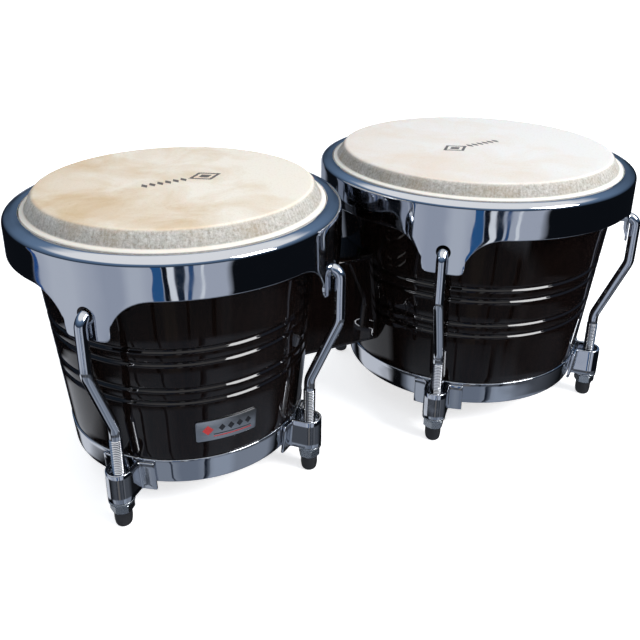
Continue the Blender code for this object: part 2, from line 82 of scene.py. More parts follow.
# %% The camera
SENSOR_MM = 36.0
LENS_MM = 763.5 / 640 * SENSOR_MM  # about 43 mm
eye = Vector((-0.24356, -0.45143, 0.33597))
aim = Vector((0.40402, 0.83504, -0.37347))
ROLL = math.radians(0.36)

lens = bpy.data.cameras.new("camera")
lens.sensor_width = SENSOR_MM
lens.lens = LENS_MM
lens.shift_x, lens.shift_y = 0.0124, -0.1142
camera = bpy.data.objects.new("camera", lens)
bpy.context.scene.collection.objects.link(camera)
camera.matrix_world = (
    Matrix.Translation(eye) @ aim.to_track_quat("-Z", "Y").to_matrix().to_4x4() @ Matrix.Rotation(ROLL, 4, "Z")
)
bpy.context.scene.camera = camera
bpy.context.scene.view_settings.view_transform = "Standard"
print(f"lens {lens.lens:.1f} mm")

# %% [markdown]
# Sizes that both drums share are kept here in millimetres. The axes of the drums and the outside of the rims are
# read from the frame, so the finer pieces can't drift from the CAD model. All shapes below are drawn in
# millimetres about a drum's own axis, then moved and scaled to metres once, when a piece is finished.

# %% Sizes
GAP = 0.3  # left between pieces that touch on the real drum
HIDE = 1.2  # thickness of the skin
RIM_TOP, RIM_BOTTOM, RIM_SHEET = 185.0, 161.2, 1.6
HOOP_TOP, HOOP_BOTTOM = 182.6, 175.2
UNDER_RIM = RIM_SHEET + 0.8 + HIDE  # from the rim's outside to the inside of the hide that is tucked under it
SHELL_WALL = 11.0
SHELL_SHOULDER = 168.0  # where the straight taper ends and the shell runs in to its bearing edge
BAND_TOP, BAND_BOTTOM, BAND_SHEET = 42.3, 25.0, 1.5
BAND_PROUD = 0.6  # how far the foot band stands out from the wall
LUGS = range(1, 5)


class Drum:
    """What differs between the drums, in millimetres. The axis and the rim come from the frame.

    face is the height of the playing face, face_radius the flat part of it, and foot_radius the wall at the foot.
    taper is how much the wall's radius grows for each millimetre of height. inward points at the other drum.
    """

    def __init__(self, name, face, face_radius, foot_radius, taper, groove_centres, hide_tones):
        shell_low, shell_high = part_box(name + "_shell")
        rim_low, rim_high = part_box(name + "_rim")
        self.name = name
        self.axis_x = (shell_low.x + shell_high.x) / 2 / MM
        self.inward = 1 if self.axis_x < 0 else -1
        self.rim_radius = (rim_high.y - rim_low.y) / 2 / MM
        self.face = face
        self.face_radius = face_radius
        self.fold_radius = face_radius + 3.3
        self.collar_radius = face_radius + 6.8
        self.foot_radius = foot_radius
        self.taper = taper
        self.groove_centres = groove_centres
        self.hide_tones = hide_tones
        self.hoop_radius = self.rim_radius - 8.8
        self.rod_low = foot_radius + 12.6
        self.rod_high = self.rim_radius + 4.4
        self.tension = name + "_tension"

    def wall(self, z):
        """The radius of the tapered wall at one height."""
        return self.foot_radius + self.taper * (z - BAND_BOTTOM)

    def at(self):
        """The matrix that moves a shape from the origin to this drum's axis."""
        return Matrix.Translation((self.axis_x, 0, 0))

    def lug(self, number):
        """The bearing of one lug, counted from +X towards +Y."""
        return math.radians(45 + 90 * (number - 1))

    def at_lug(self, number):
        return self.at() @ Matrix.Rotation(self.lug(number), 4, "Z")


MACHO = Drum("macho", 195.0, 84.5, 77.0, 0.0976, (117.2, 90.0), ("#d8bd97", "#f6ecde"))
HEMBRA = Drum("hembra", 194.0, 95.9, 88.8, 0.1065, (115.6, 87.4), ("#eadccd", "#f0ece8"))
DRUMS = (MACHO, HEMBRA)
for drum in DRUMS:
    print(f"{drum.name}: axis x {drum.axis_x:.2f}, rim radius {drum.rim_radius:.2f} mm")

# %% [markdown]
# Two helpers draw outlines. `rounded` softens the corners of an outline, because no real edge is perfectly sharp
# and a small round is what catches the light. `finer` divides its long straight runs, so that the faces made
# from it are never long slivers.

# %% Helpers for outlines


def rounded(corners, steps=4, closed=True):
    """The outline through (x, z, rounding) corners, with every rounded corner replaced by a short arc."""
    outline = []
    for i, (x, z, rounding) in enumerate(corners):
        here = Vector((x, z))
        if rounding == 0 or (not closed and i in (0, len(corners) - 1)):
            outline.append(here)
            continue
        back = Vector(corners[i - 1][:2]) - here
        ahead = Vector(corners[(i + 1) % len(corners)][:2]) - here
        reach = rounding / math.tan(back.angle(ahead) / 2)
        reach = min(reach, 0.49 * back.length, 0.49 * ahead.length)
        start, end = here + back.normalized() * reach, here + ahead.normalized() * reach
        for step in range(steps + 1):
            t = step / steps
            outline.append(start * (1 - t) ** 2 + here * 2 * t * (1 - t) + end * t * t)
    return outline


def finer(outline, longest, closed=True):
    """The same outline with its long straight runs divided."""
    points = []
    pairs = list(zip(outline, outline[1:] + outline[:1]))
    for a, b in pairs if closed else pairs[:-1]:
        parts = max(1, math.ceil((b - a).length / longest))
        points += [a.lerp(b, i / parts) for i in range(parts)]
    return points if closed else points + [outline[-1]]


print("outline helpers ready")

# %% [markdown]
# The next helpers make pieces. `turned` spins an outline once round the drum's axis, as a lathe does. `to_mesh`
# closes a bmesh, makes sure that its faces look outwards, and moves it to its place in metres. `baked` cuts holes
# with a Boolean, which an outline can't have. `piece` names the result and hands it to a body of the frame, and
# `moved_copy` repeats a pattern, because eight equal hooks come from one bending jig.

# %% Helpers for pieces
SHARP_DEG = 38  # edges that turn by more than this stay crisp
MERGE_MM = 1e-3


def turned(outline, steps=128):
    """A bmesh of the closed outline of (radius, z) points, spun once round Z."""
    bm = bmesh.new()
    points = [bm.verts.new((r, 0, z)) for r, z in outline]
    edges = [bm.edges.new((a, b)) for a, b in zip(points, points[1:] + points[:1])]
    bmesh.ops.spin(
        bm, geom=points + edges, cent=(0, 0, 0), axis=(0, 0, 1), dvec=(0, 0, 0),
        angle=2 * math.pi, steps=steps, use_merge=True, use_duplicate=False,
    )
    bmesh.ops.remove_doubles(bm, verts=bm.verts, dist=MERGE_MM)
    bmesh.ops.delete(bm, geom=[e for e in bm.edges if not e.link_faces], context="EDGES")
    return bm


def to_mesh(name, bm, matrix=Matrix.Identity(4), sharp=SHARP_DEG):
    """Closes the bmesh, which is in millimetres, and returns it as a mesh in metres in the frame."""
    bmesh.ops.remove_doubles(bm, verts=bm.verts, dist=MERGE_MM)
    bmesh.ops.recalc_face_normals(bm, faces=bm.faces)
    bmesh.ops.transform(bm, matrix=Matrix.Scale(MM, 4) @ matrix, verts=bm.verts)
    mesh = bpy.data.meshes.new(name)
    bm.to_mesh(mesh)
    bm.free()
    mesh.shade_smooth()
    mesh.set_sharp_from_angle(angle=math.radians(sharp))
    return mesh


def in_scene(name, data):
    made = bpy.data.objects.new(name, data)
    bpy.context.scene.collection.objects.link(made)
    return made


def piece(name, mesh, body, slot, materials, replaces=()):
    """Puts a finished mesh in the scene as one named piece that rides on a body, when one is given."""
    made = in_scene(name, mesh)
    for look in materials:
        mesh.materials.append(look)
    if body is not None:
        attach(made, body)
    if replaces:
        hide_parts(*replaces)
    return made


def moved_copy(mesh, name, matrix):
    """A copy of a mesh in metres, moved and turned by a matrix in millimetres."""
    copy = mesh.copy()
    copy.name = name
    in_metres = matrix.copy()
    in_metres.translation = matrix.translation * MM
    copy.transform(in_metres)
    return copy


def baked(name, mesh, cutters):
    """The mesh with the cutters taken away from it, as plain geometry."""
    body = in_scene(name + "_blank", mesh)
    tools = [in_scene(name + "_cutter", cutter) for cutter in cutters]
    for tool in tools:
        cut = body.modifiers.new("cut", "BOOLEAN")
        cut.operation, cut.solver, cut.object = "DIFFERENCE", "EXACT", tool
    bpy.context.view_layer.update()
    result = bpy.data.meshes.new_from_object(body.evaluated_get(bpy.context.evaluated_depsgraph_get()))
    result.name = name
    for used in [body] + tools:
        bpy.data.objects.remove(used)
    result.set_sharp_from_angle(angle=math.radians(SHARP_DEG))
    return result


print("piece helpers ready")

# %% [markdown]
# Materials are node trees. Colours are written as the hex values that a designer would pick on a screen, and one
# function turns them to the linear values that the renderer needs. One helper adds a node, sets its fields and
# links its inputs, so each material below reads as a short recipe.

# %% Helpers for materials
SHARE, UNDER, OVER = 0, 6, 7  # the inputs of a Mix node that works on colours


def linear(code):
    """An sRGB hex colour as linear RGBA."""
    parts = [int(code[i : i + 2], 16) / 255 for i in (1, 3, 5)]
    return tuple(c / 12.92 if c <= 0.04045 else ((c + 0.055) / 1.055) ** 2.4 for c in parts) + (1.0,)


def add_node(tree, kind, inputs=None, **fields):
    """Adds a node and returns its first live output. An input takes a plain value, or the output that feeds it."""
    made = tree.nodes.new(kind)
    for field, value in fields.items():
        setattr(made, field, value)
    for key, value in (inputs or {}).items():
        if isinstance(value, bpy.types.NodeSocket):
            tree.links.new(value, made.inputs[key])
        else:
            made.inputs[key].default_value = value
    return next(output for output in made.outputs if output.enabled)


def new_material(name, **settings):
    """(material, its tree, its shader, Object coordinates) with plain numbers set on the shader."""
    made = bpy.data.materials.new(name)
    made.use_nodes = True
    tree = made.node_tree
    shader = tree.nodes["Principled BSDF"]
    for key, value in settings.items():
        shader.inputs[key.replace("_", " ")].default_value = value
    place = tree.nodes.new("ShaderNodeTexCoord").outputs["Object"]
    return made, tree, shader, place


def feed(shader, **outputs):
    """Links outputs to the shader's inputs. An underscore stands for the space in an input's name."""
    for key, output in outputs.items():
        shader.id_data.links.new(output, shader.inputs[key.replace("_", " ")])


print("material helpers ready")

# %% [markdown]
# **Black lacquer.** The shells and the block are wood, sprayed with many thin coats of black polyurethane and
# polished. What the eye sees is a clear, hard coat over a nearly black base that turns slightly brown where light
# gets into it. The coat gives the reflections; the base under it is duller. The pores leave fine streaks along the
# grain, about 2 mm apart, and spraying leaves a faint orange-peel 2 to 3 mm across on a slow swell.

# %% Black lacquer
lacquer, tree, shader, place = new_material(
    "black polyurethane lacquer", Roughness=0.35, IOR=1.5, Specular_IOR_Level=0.0, Coat_Weight=1.0,
    Coat_IOR=1.46, Coat_Roughness=0.02,
)
along_grain = add_node(tree, "ShaderNodeMapping", {"Vector": place, "Scale": (1.0, 1.0, 0.06)})
grain = add_node(tree, "ShaderNodeTexNoise", {"Vector": along_grain, "Scale": 420.0, "Detail": 4.0})
depth = add_node(
    tree, "ShaderNodeMix", {SHARE: grain, UNDER: linear("#020202"), OVER: linear("#120b09")}, data_type="RGBA"
)
peel = add_node(tree, "ShaderNodeTexNoise", {"Vector": place, "Scale": 380.0, "Detail": 1.0})
swell = add_node(tree, "ShaderNodeTexNoise", {"Vector": place, "Scale": 26.0, "Detail": 1.0})
coat_height = add_node(tree, "ShaderNodeMath", {0: swell, 1: 6.0, 2: peel}, operation="MULTIPLY_ADD")
coat_bump = add_node(tree, "ShaderNodeBump", {"Height": coat_height, "Strength": 0.014, "Distance": 0.0004})
feed(shader, Base_Color=depth, Normal=coat_bump, Coat_Normal=coat_bump)
print("made", lacquer.name)

# %% [markdown]
# **Bare wood.** The inside of a shell isn't polished. It is the same light hardwood, sealed with one thin brown
# coat, so it is matt, and its grain runs up and down in lines about a millimetre apart.

# %% Sealed wood inside the shells
bare_wood, tree, shader, place = new_material("sealed rubberwood", Roughness=0.62, IOR=1.5)
along_grain = add_node(tree, "ShaderNodeMapping", {"Vector": place, "Scale": (1.0, 1.0, 0.05)})
lines = add_node(
    tree, "ShaderNodeTexNoise", {"Vector": along_grain, "Scale": 650.0, "Detail": 6.0, "Roughness": 0.65}
)
staves = add_node(tree, "ShaderNodeTexNoise", {"Vector": along_grain, "Scale": 60.0})
tone = add_node(
    tree, "ShaderNodeMix", {SHARE: lines, UNDER: linear("#3f2a1b"), OVER: linear("#7d5a3c")}, data_type="RGBA"
)
board = add_node(tree, "ShaderNodeMix", {SHARE: staves, UNDER: tone, OVER: linear("#5c4029")}, data_type="RGBA")
wood_bump = add_node(tree, "ShaderNodeBump", {"Height": lines, "Strength": 0.3, "Distance": 0.0003})
feed(shader, Base_Color=board, Normal=wood_bump)
print("made", bare_wood.name)

# %% [markdown]
# **Chrome.** Bright nickel-chrome plate on pressed or bent steel: a nearly perfect mirror, slightly blue, that
# gets its look from what it reflects. The plate copies every slow wave that the press left in the sheet, so
# reflections wander a little. Fingers and cloths leave faint smudges, drawn here as a slow change in roughness.

# %% Chrome
chrome, tree, shader, place = new_material("nickel-chrome plate", Metallic=1.0)
shader.inputs["Base Color"].default_value = linear("#d3d6dc")
smudge = add_node(tree, "ShaderNodeTexNoise", {"Vector": place, "Scale": 55.0, "Detail": 5.0, "Roughness": 0.6})
gloss = add_node(
    tree, "ShaderNodeMapRange",
    {"Value": smudge, "From Min": 0.45, "From Max": 0.8, "To Min": 0.035, "To Max": 0.14},
)
waves = add_node(tree, "ShaderNodeTexNoise", {"Vector": place, "Scale": 45.0, "Detail": 1.0})
chrome_bump = add_node(tree, "ShaderNodeBump", {"Height": waves, "Strength": 0.25, "Distance": 0.0012})
feed(shader, Roughness=gloss, Normal=chrome_bump)
print("made", chrome.name)

# %% [markdown]
# **Zinc plate.** Nuts, washers and bolts are bright zinc: duller and greyer than chrome, with a soft grainy
# sheen of crystals well under a millimetre across. Its colour and its gloss follow the same crystals, and the
# plainer finishes after it are made in the same way.

# %% Zinc plate


def toned(tree, shader, pattern, dark, light, smooth, rough):
    """Lets a pattern carry the surface from dark to light, and from smooth to rough."""
    tone = add_node(
        tree, "ShaderNodeMix", {SHARE: pattern, UNDER: linear(dark), OVER: linear(light)}, data_type="RGBA"
    )
    gloss = add_node(tree, "ShaderNodeMapRange", {"Value": pattern, "To Min": smooth, "To Max": rough})
    feed(shader, Base_Color=tone, Roughness=gloss)


zinc, tree, shader, place = new_material("bright zinc plate", Metallic=1.0)
crystals = add_node(tree, "ShaderNodeTexNoise", {"Vector": place, "Scale": 1600.0, "Detail": 3.0})
toned(tree, shader, crystals, "#9aa0a6", "#c9cdd0", 0.16, 0.38)
feed(shader, Normal=add_node(tree, "ShaderNodeBump", {"Height": crystals, "Strength": 0.15, "Distance": 0.0001}))
print("made", zinc.name)

# %% [markdown]
# **Rubber.** The caps are moulded black rubber. It is dark grey rather than black once it has been handled, has
# no clear reflections, and shows the fine blasted grain of its mould.

# %% Rubber
rubber, tree, shader, place = new_material("moulded black rubber", IOR=1.52)
dust = add_node(tree, "ShaderNodeTexNoise", {"Vector": place, "Scale": 240.0, "Detail": 5.0})
toned(tree, shader, dust, "#0e0e10", "#26262a", 0.42, 0.72)
mould = add_node(tree, "ShaderNodeTexNoise", {"Vector": place, "Scale": 2400.0, "Detail": 2.0})
feed(shader, Normal=add_node(tree, "ShaderNodeBump", {"Height": mould, "Strength": 0.35, "Distance": 0.00015}))
print("made", rubber.name)

# %% [markdown]
# **Mill steel.** The flesh hoop inside each head is a plain bent bar, never plated. It has a dark scale that came
# from the hot rolls.

# %% Mill steel
mill_steel, tree, shader, place = new_material("hot rolled steel", Metallic=1.0)
mill_scale = add_node(
    tree, "ShaderNodeTexNoise", {"Vector": place, "Scale": 300.0, "Detail": 6.0, "Roughness": 0.7}
)
toned(tree, shader, mill_scale, "#3f4043", "#8b8c8e", 0.35, 0.6)
print("made", mill_steel.name)

# %% [markdown]
# ** The face of the hide.** The heads are natural skin, soaked, pulled over the shell and dried. The playing face
# is cream, with soft clouds a few centimetres wide where it is thicker, and specks where the hair grew. The face is
# also painted darker towards -X, as painted shade on the side away from the softbox, so the clouds drift across it.

# %% The face of the hide


def hide_face(tree, centred, tones):
    """(the colour of the playing face, its pattern of hair roots)."""
    clouds = add_node(
        tree, "ShaderNodeTexNoise",
        {"Vector": centred, "Scale": 26.0, "Detail": 5.0, "Roughness": 0.6, "Distortion": 0.5},
    )
    across = add_node(tree, "ShaderNodeSeparateXYZ", {"Vector": centred}).node.outputs["X"]
    # painted shade: the face is drawn darker towards -X, the side away from the softbox, on top of its real clouds
    clouds_and_painted_shade = add_node(tree, "ShaderNodeMath", {0: across, 1: 2.4, 2: clouds}, operation="MULTIPLY_ADD")
    cloud_and_shade_share = add_node(tree, "ShaderNodeMapRange", {"Value": clouds_and_painted_shade, "From Min": 0.2, "From Max": 0.62})
    dark, light = tones
    clouded = add_node(
        tree, "ShaderNodeMix", {SHARE: cloud_and_shade_share, UNDER: linear(dark), OVER: linear(light)}, data_type="RGBA"
    )
    hairs = add_node(
        tree, "ShaderNodeTexNoise", {"Vector": centred, "Scale": 700.0, "Detail": 3.0, "Roughness": 0.7}
    )
    speck_share = add_node(
        tree, "ShaderNodeMapRange", {"Value": hairs, "From Min": 0.54, "From Max": 0.78, "To Max": 0.35}
    )
    specked = add_node(
        tree, "ShaderNodeMix", {SHARE: speck_share, UNDER: clouded, OVER: linear("#b59a76")}, data_type="RGBA"
    )
    return specked, hairs


print("hide face ready")

# %% [markdown]
# **The collar of the hide.** The collar slopes down to the rim and keeps the outer layer of the skin: it is
# greyer, and speckled like felt. Fibres a few millimetres long run down the slope, over that felt of fine specks,
# and brown stains a couple of centimetres wide lie over both.

# %% The collar of the hide


def hide_collar(tree, centred):
    """(the colour of the collar, its pattern of felt)."""
    level = add_node(tree, "ShaderNodeVectorMath", {0: centred, 1: (1.0, 1.0, 0.0)}, operation="MULTIPLY")
    bearing = add_node(tree, "ShaderNodeVectorMath", {0: level}, operation="NORMALIZE")
    down_slope = add_node(
        tree, "ShaderNodeVectorMath", {0: centred, 1: (0.0, 0.0, 1.6), 2: bearing}, operation="MULTIPLY_ADD"
    )
    fibres = add_node(
        tree, "ShaderNodeTexNoise", {"Vector": down_slope, "Scale": 66.0, "Detail": 5.0, "Roughness": 0.7}
    )
    felt = add_node(
        tree, "ShaderNodeTexNoise", {"Vector": centred, "Scale": 620.0, "Detail": 5.0, "Roughness": 0.75}
    )
    blotches = add_node(tree, "ShaderNodeTexNoise", {"Vector": centred, "Scale": 48.0, "Detail": 3.0})
    matted = add_node(tree, "ShaderNodeMix", {0: 0.68, 2: fibres, 3: felt}, data_type="FLOAT")
    felt_share = add_node(tree, "ShaderNodeMapRange", {"Value": matted, "From Min": 0.36, "From Max": 0.62})
    slope = add_node(
        tree, "ShaderNodeMix", {SHARE: felt_share, UNDER: linear("#8f897d"), OVER: linear("#cecbc5")},
        data_type="RGBA",
    )
    blotch_share = add_node(
        tree, "ShaderNodeMapRange", {"Value": blotches, "From Min": 0.5, "From Max": 0.72, "To Max": 0.55}
    )
    stained = add_node(
        tree, "ShaderNodeMix", {SHARE: blotch_share, UNDER: slope, OVER: linear("#a4937a")}, data_type="RGBA"
    )
    return stained, felt


print("hide collar ready")

# %% [markdown]
# **The printed mark.** A small print near the middle of each face is one large open lozenge and a row of small
# ones, in worn blue-black ink. A lozenge is every point whose two distances from its middle, each as a share of
# its half width or half height, add up to less than one. A fine noise added to that sum makes the ink bleed.

# %% The printed mark


def ink_mark(tree, centred, height, side):
    """How much ink covers a point of the face. The large lozenge is on the given side, 1 or -1."""
    big_u, big_half_u, big_half_v = side * 0.0200, 0.0115, 0.0092
    row_middle, row_half, pitch, small_half_v = side * -0.0085, 0.0156, 0.0052, 0.0042
    on_mark = add_node(
        tree, "ShaderNodeMapping", {"Vector": centred, "Rotation": (0.0, 0.0, math.radians(-7.0))}
    )
    axes = add_node(tree, "ShaderNodeSeparateXYZ", {"Vector": on_mark}).node.outputs
    bleed = add_node(tree, "ShaderNodeTexNoise", {"Vector": centred, "Scale": 900.0, "Detail": 2.0})
    worn = add_node(tree, "ShaderNodeMapRange", {"Value": bleed, "To Min": -0.12, "To Max": 0.12})

    def share_of(axis, middle, half):
        """How far a point is from a middle along one axis of the mark, in halves."""
        off = add_node(tree, "ShaderNodeMath", {0: axes[axis], 1: middle}, operation="SUBTRACT")
        away = add_node(tree, "ShaderNodeMath", {0: off}, operation="ABSOLUTE")
        return add_node(tree, "ShaderNodeMath", {0: away, 1: half}, operation="DIVIDE")

    def lozenge_reach(share_u, share_v):
        """0 at a lozenge's middle and 1 on its outline, with the worn edge of the ink."""
        clean = add_node(tree, "ShaderNodeMath", {0: share_u, 1: share_v}, operation="ADD")
        return add_node(tree, "ShaderNodeMath", {0: clean, 1: worn}, operation="ADD")

    big = lozenge_reach(share_of("X", big_u, big_half_u), share_of("Y", 0.0, big_half_v))
    open_line = add_node(tree, "ShaderNodeMath", {0: big, 1: 0.86, 2: 0.14}, operation="COMPARE")
    core = add_node(tree, "ShaderNodeMath", {0: big, 1: 0.42}, operation="LESS_THAN")
    repeat = add_node(tree, "ShaderNodeMath", {0: axes["X"], 1: pitch / 2}, operation="PINGPONG")
    along = add_node(tree, "ShaderNodeMath", {0: repeat, 1: pitch / 2 * 0.8}, operation="DIVIDE")
    small = lozenge_reach(along, share_of("Y", 0.0, small_half_v))
    lozenge = add_node(tree, "ShaderNodeMath", {0: small, 1: 1.0}, operation="LESS_THAN")
    in_row = add_node(tree, "ShaderNodeMath", {0: share_of("X", row_middle, row_half), 1: 1.0}, operation="LESS_THAN")
    row = add_node(tree, "ShaderNodeMath", {0: lozenge, 1: in_row}, operation="MULTIPLY")
    large = add_node(tree, "ShaderNodeMath", {0: open_line, 1: core}, operation="ADD")
    mark = add_node(tree, "ShaderNodeMath", {0: large, 1: row}, operation="ADD")
    on_face = add_node(tree, "ShaderNodeMath", {0: height, 1: -0.0004}, operation="GREATER_THAN")
    ink = add_node(tree, "ShaderNodeMath", {0: mark, 1: on_face}, operation="MULTIPLY", use_clamp=True)
    return add_node(tree, "ShaderNodeMath", {0: ink, 1: 0.85}, operation="MULTIPLY")


print("mark ready")

# %% [markdown]
# ** The whole hide.** A piece's own `collar` value, from 0 on the face to 1 on the slope, says which pattern shows,
# so each stays on its part of the skin. The brim at the foot of the collar is painted pale, as a painted highlight
# of the bright chrome lip beside it. Light goes a few millimetres into a dried skin.

# %% The whole hide


def hide_material(drum):
    """Dried skin for one drum, with its patterns centred on the middle of that drum's face."""
    made, tree, shader, place = new_material(
        drum.name + " dried hide", IOR=1.5, Subsurface_Weight=0.12, Subsurface_Scale=0.004
    )
    collar = add_node(tree, "ShaderNodeAttribute", attribute_name="collar").node.outputs["Fac"]
    centred = add_node(
        tree, "ShaderNodeMapping", {"Vector": place, "Location": (-drum.axis_x * MM, 0.0, -drum.face * MM)}
    )
    height = add_node(tree, "ShaderNodeSeparateXYZ", {"Vector": centred}).node.outputs["Z"]
    face, hairs = hide_face(tree, centred, drum.hide_tones)
    slope, felt = hide_collar(tree, centred)
    skin = add_node(tree, "ShaderNodeMix", {SHARE: collar, UNDER: face, OVER: slope}, data_type="RGBA")
    # painted highlight: a pale ring painted on the skin just above the rim's lip, for the bright reflection along the
    # chrome lip
    painted_brim_highlight = add_node(
        tree, "ShaderNodeMapRange",
        {"Value": height, "From Min": (RIM_TOP + 0.9 - drum.face) * MM,
         "From Max": (RIM_TOP + 0.4 - drum.face) * MM, "To Max": 0.8},
    )
    skin = add_node(tree, "ShaderNodeMix", {SHARE: painted_brim_highlight, UNDER: skin, OVER: linear("#f4efe6")}, data_type="RGBA")
    ink = ink_mark(tree, centred, height, side=1 if drum is MACHO else -1)
    printed = add_node(tree, "ShaderNodeMix", {SHARE: ink, UNDER: skin, OVER: linear("#20242f")}, data_type="RGBA")
    roughness = add_node(tree, "ShaderNodeMapRange", {"Value": collar, "To Min": 0.58, "To Max": 0.85})
    pores = add_node(tree, "ShaderNodeMath", {0: felt, 1: 0.6, 2: hairs}, operation="MULTIPLY_ADD")
    bump = add_node(tree, "ShaderNodeBump", {"Height": pores, "Strength": 0.22, "Distance": 0.0003})
    feed(shader, Base_Color=printed, Roughness=roughness, Normal=bump)
    return made


hides = {drum.name: hide_material(drum) for drum in DRUMS}
print("made", sorted(look.name for look in hides.values()))

# %% [markdown]
# **Badge metal and inks.** The badge is a thin aluminium plate, brushed along its length before it was bent to
# the shell. Its print is stoved enamel, which is smooth and slightly raised, and a little thinner in places.

# %% Badge plate and enamels
brushed, tree, shader, place = new_material("brushed aluminium", Metallic=1.0)
along_brush = add_node(tree, "ShaderNodeMapping", {"Vector": place, "Scale": (0.03, 0.03, 1.0)})
strokes = add_node(tree, "ShaderNodeTexNoise", {"Vector": along_brush, "Scale": 5200.0, "Detail": 3.0})
toned(tree, shader, strokes, "#a9adb2", "#d8dadc", 0.22, 0.42)
feed(shader, Normal=add_node(tree, "ShaderNodeBump", {"Height": strokes, "Strength": 0.2, "Distance": 0.00005}))

enamels = {}
for enamel, thin, thick in (("red", "#8e1f22", "#a82c2c"), ("black", "#101114", "#1c1d22")):
    made, tree, shader, place = new_material(enamel + " stoved enamel", Roughness=0.28, IOR=1.5)
    flow = add_node(tree, "ShaderNodeTexNoise", {"Vector": place, "Scale": 500.0, "Detail": 3.0})
    coat = {SHARE: flow, UNDER: linear(thin), OVER: linear(thick)}
    feed(shader, Base_Color=add_node(tree, "ShaderNodeMix", coat, data_type="RGBA"))
    enamels[enamel] = made
print("made", brushed.name, sorted(enamels))

# %% [markdown]
# ## The shells
#
# A shell is glued up from staves and turned on a lathe, so spinning its section is the natural way to draw it.
# Two pairs of round-bottomed grooves stand on each shell, and the ridge left between the two of a pair is
# rounded over into a bead. The top runs in to the bearing edge that the hide sits on, and the foot steps in
# to take the steel band. The wall inside gets the sealed wood; the rest gets lacquer. Four bolt holes
# are bored through the walls that face each other.

# %% The shells
GROOVE_DEPTH = 1.5
GROOVE_WIDTH = 3.8
GROOVE_PITCH = 9.0
BOLT_HEIGHTS = (77.0, 105.0)
BOLT_RADIUS = 4.0
BORE_RADIUS = BOLT_RADIUS + 0.6
ON_ITS_SIDE = Matrix.Rotation(math.pi / 2, 4, "Y")  # turns a shape's own axis from +Z to +X


def shell_section(drum):
    """The wall cut through, from the foot up the grooved outside, over the bearing edge and down the inside."""
    top = drum.face - HIDE - GAP
    foot = BAND_BOTTOM + BAND_SHEET + GAP
    step = BAND_TOP + GAP
    seat = BAND_PROUD - BAND_SHEET - GAP
    corners = [(drum.wall(foot) + seat, foot, 0.4), (drum.wall(step) + seat, step, 0), (drum.wall(step), step, 0.8)]
    for centre in sorted(drum.groove_centres):
        for middle in (centre - GROOVE_PITCH / 2, centre + GROOVE_PITCH / 2):
            low, high = middle - GROOVE_WIDTH / 2, middle + GROOVE_WIDTH / 2
            corners.append((drum.wall(low), low, 1.3))
            corners.append((drum.wall(middle) - GROOVE_DEPTH, middle - 0.55, 0.8))
            corners.append((drum.wall(middle) - GROOVE_DEPTH, middle + 0.55, 0.8))
            corners.append((drum.wall(high), high, 1.3))
    corners += [
        (drum.wall(SHELL_SHOULDER), SHELL_SHOULDER, 3.0),
        (drum.fold_radius - 0.6, 181.0, 3.0),
        (drum.fold_radius - 2.2, top - 1.6, 0.6),
        (drum.face_radius - 0.6, top, 0.6),
        (drum.face_radius - 2.4, top - 0.6, 0.5),
        (drum.wall(top - 6.0) - SHELL_WALL, top - 6.0, 2.0),
        (drum.wall(foot) - SHELL_WALL, foot, 1.2),
    ]
    return finer(rounded(corners, steps=4), 6.0)


def bolt_bores(drum):
    """Bars through the wall towards the other drum, one at each bolt height."""
    bars = []
    for z in BOLT_HEIGHTS:
        bm = bmesh.new()
        bmesh.ops.create_cone(
            bm, cap_ends=True, segments=32, radius1=BORE_RADIUS, radius2=BORE_RADIUS, depth=60,
            matrix=Matrix.Translation((drum.axis_x + drum.inward * 85, 0, z)) @ ON_ITS_SIDE,
        )
        bars.append(to_mesh("bolt_bore", bm))
    return bars


for drum in DRUMS:
    name = drum.name + "_lacquered_shell"
    wall = to_mesh(name, turned(shell_section(drum), 160), drum.at())
    wall = baked(name, wall, bolt_bores(drum))
    shell = piece(name, wall, "frame", "lacquer", (lacquer, bare_wood), [drum.name + "_shell"])
    for face in wall.polygons:
        middle = face.center / MM
        from_inside = math.hypot(middle.x - drum.axis_x, middle.y) - (drum.wall(middle.z) - SHELL_WALL)
        face.material_index = 1 if from_inside < 2.0 and middle.z < SHELL_SHOULDER + 20 else 0
    print(shell.name, len(wall.polygons), "faces")

# %% [markdown]
# ## The heads
#
# The hide runs flat across the bearing edge, folds over it in a soft round, slopes out as the collar, then goes
# down under the rim and up round a steel hoop. It is one closed skin 1.2 mm thick. Drying leaves slow ripples
# in the collar and a slightly uneven edge, so its points are pushed in and out by a smooth noise of their own
# places, which has no seam.

# %% The heads
COLLAR_RIPPLE, COLLAR_WAVE = 0.35, 9.0  # how far a point is pushed, and the size of a ripple
FACE_RIPPLE, FACE_WAVE = 0.05, 30.0


def hide_section(drum):
    """The skin cut through: its upper side from the middle outwards, round the tuck, and back below."""
    face, fold, foot = drum.face, drum.fold_radius, drum.collar_radius
    tuck = drum.rim_radius - UNDER_RIM
    hoop = drum.hoop_radius - GAP
    brim = foot + 3.2
    corners = [
        (0.0, face, 0),
        (drum.face_radius + 1.6, face - 0.1, 4.5),
        (fold + 0.3, face - 2.4, 3.0),
        (foot, RIM_TOP + 0.7, 1.6),
        (brim, RIM_TOP - 0.1, 0.8),
        (brim + 0.2, RIM_TOP - 2.5, 1.5),
        (hoop, HOOP_BOTTOM - GAP, 0.8),
        (tuck, HOOP_BOTTOM - GAP, 0.8),
        (tuck, HOOP_TOP - 1.5, 0),
        (tuck + HIDE, HOOP_TOP - 1.5, 0.4),
        (tuck + HIDE, HOOP_BOTTOM - GAP - HIDE, 1.6),
        (hoop - HIDE, HOOP_BOTTOM - GAP - HIDE, 1.6),
        (brim - HIDE, RIM_TOP - 2.8, 1.5),
        (brim - HIDE - 0.6, RIM_TOP - 1.2, 1.0),
        (foot - HIDE, RIM_TOP - 0.2, 1.6),
        (fold - 1.0, face - 3.0, 2.0),
        (drum.face_radius + 0.8, face - HIDE, 2.0),
        (0.0, face - HIDE, 0),
    ]
    return finer(rounded(corners, steps=6), 4.0)


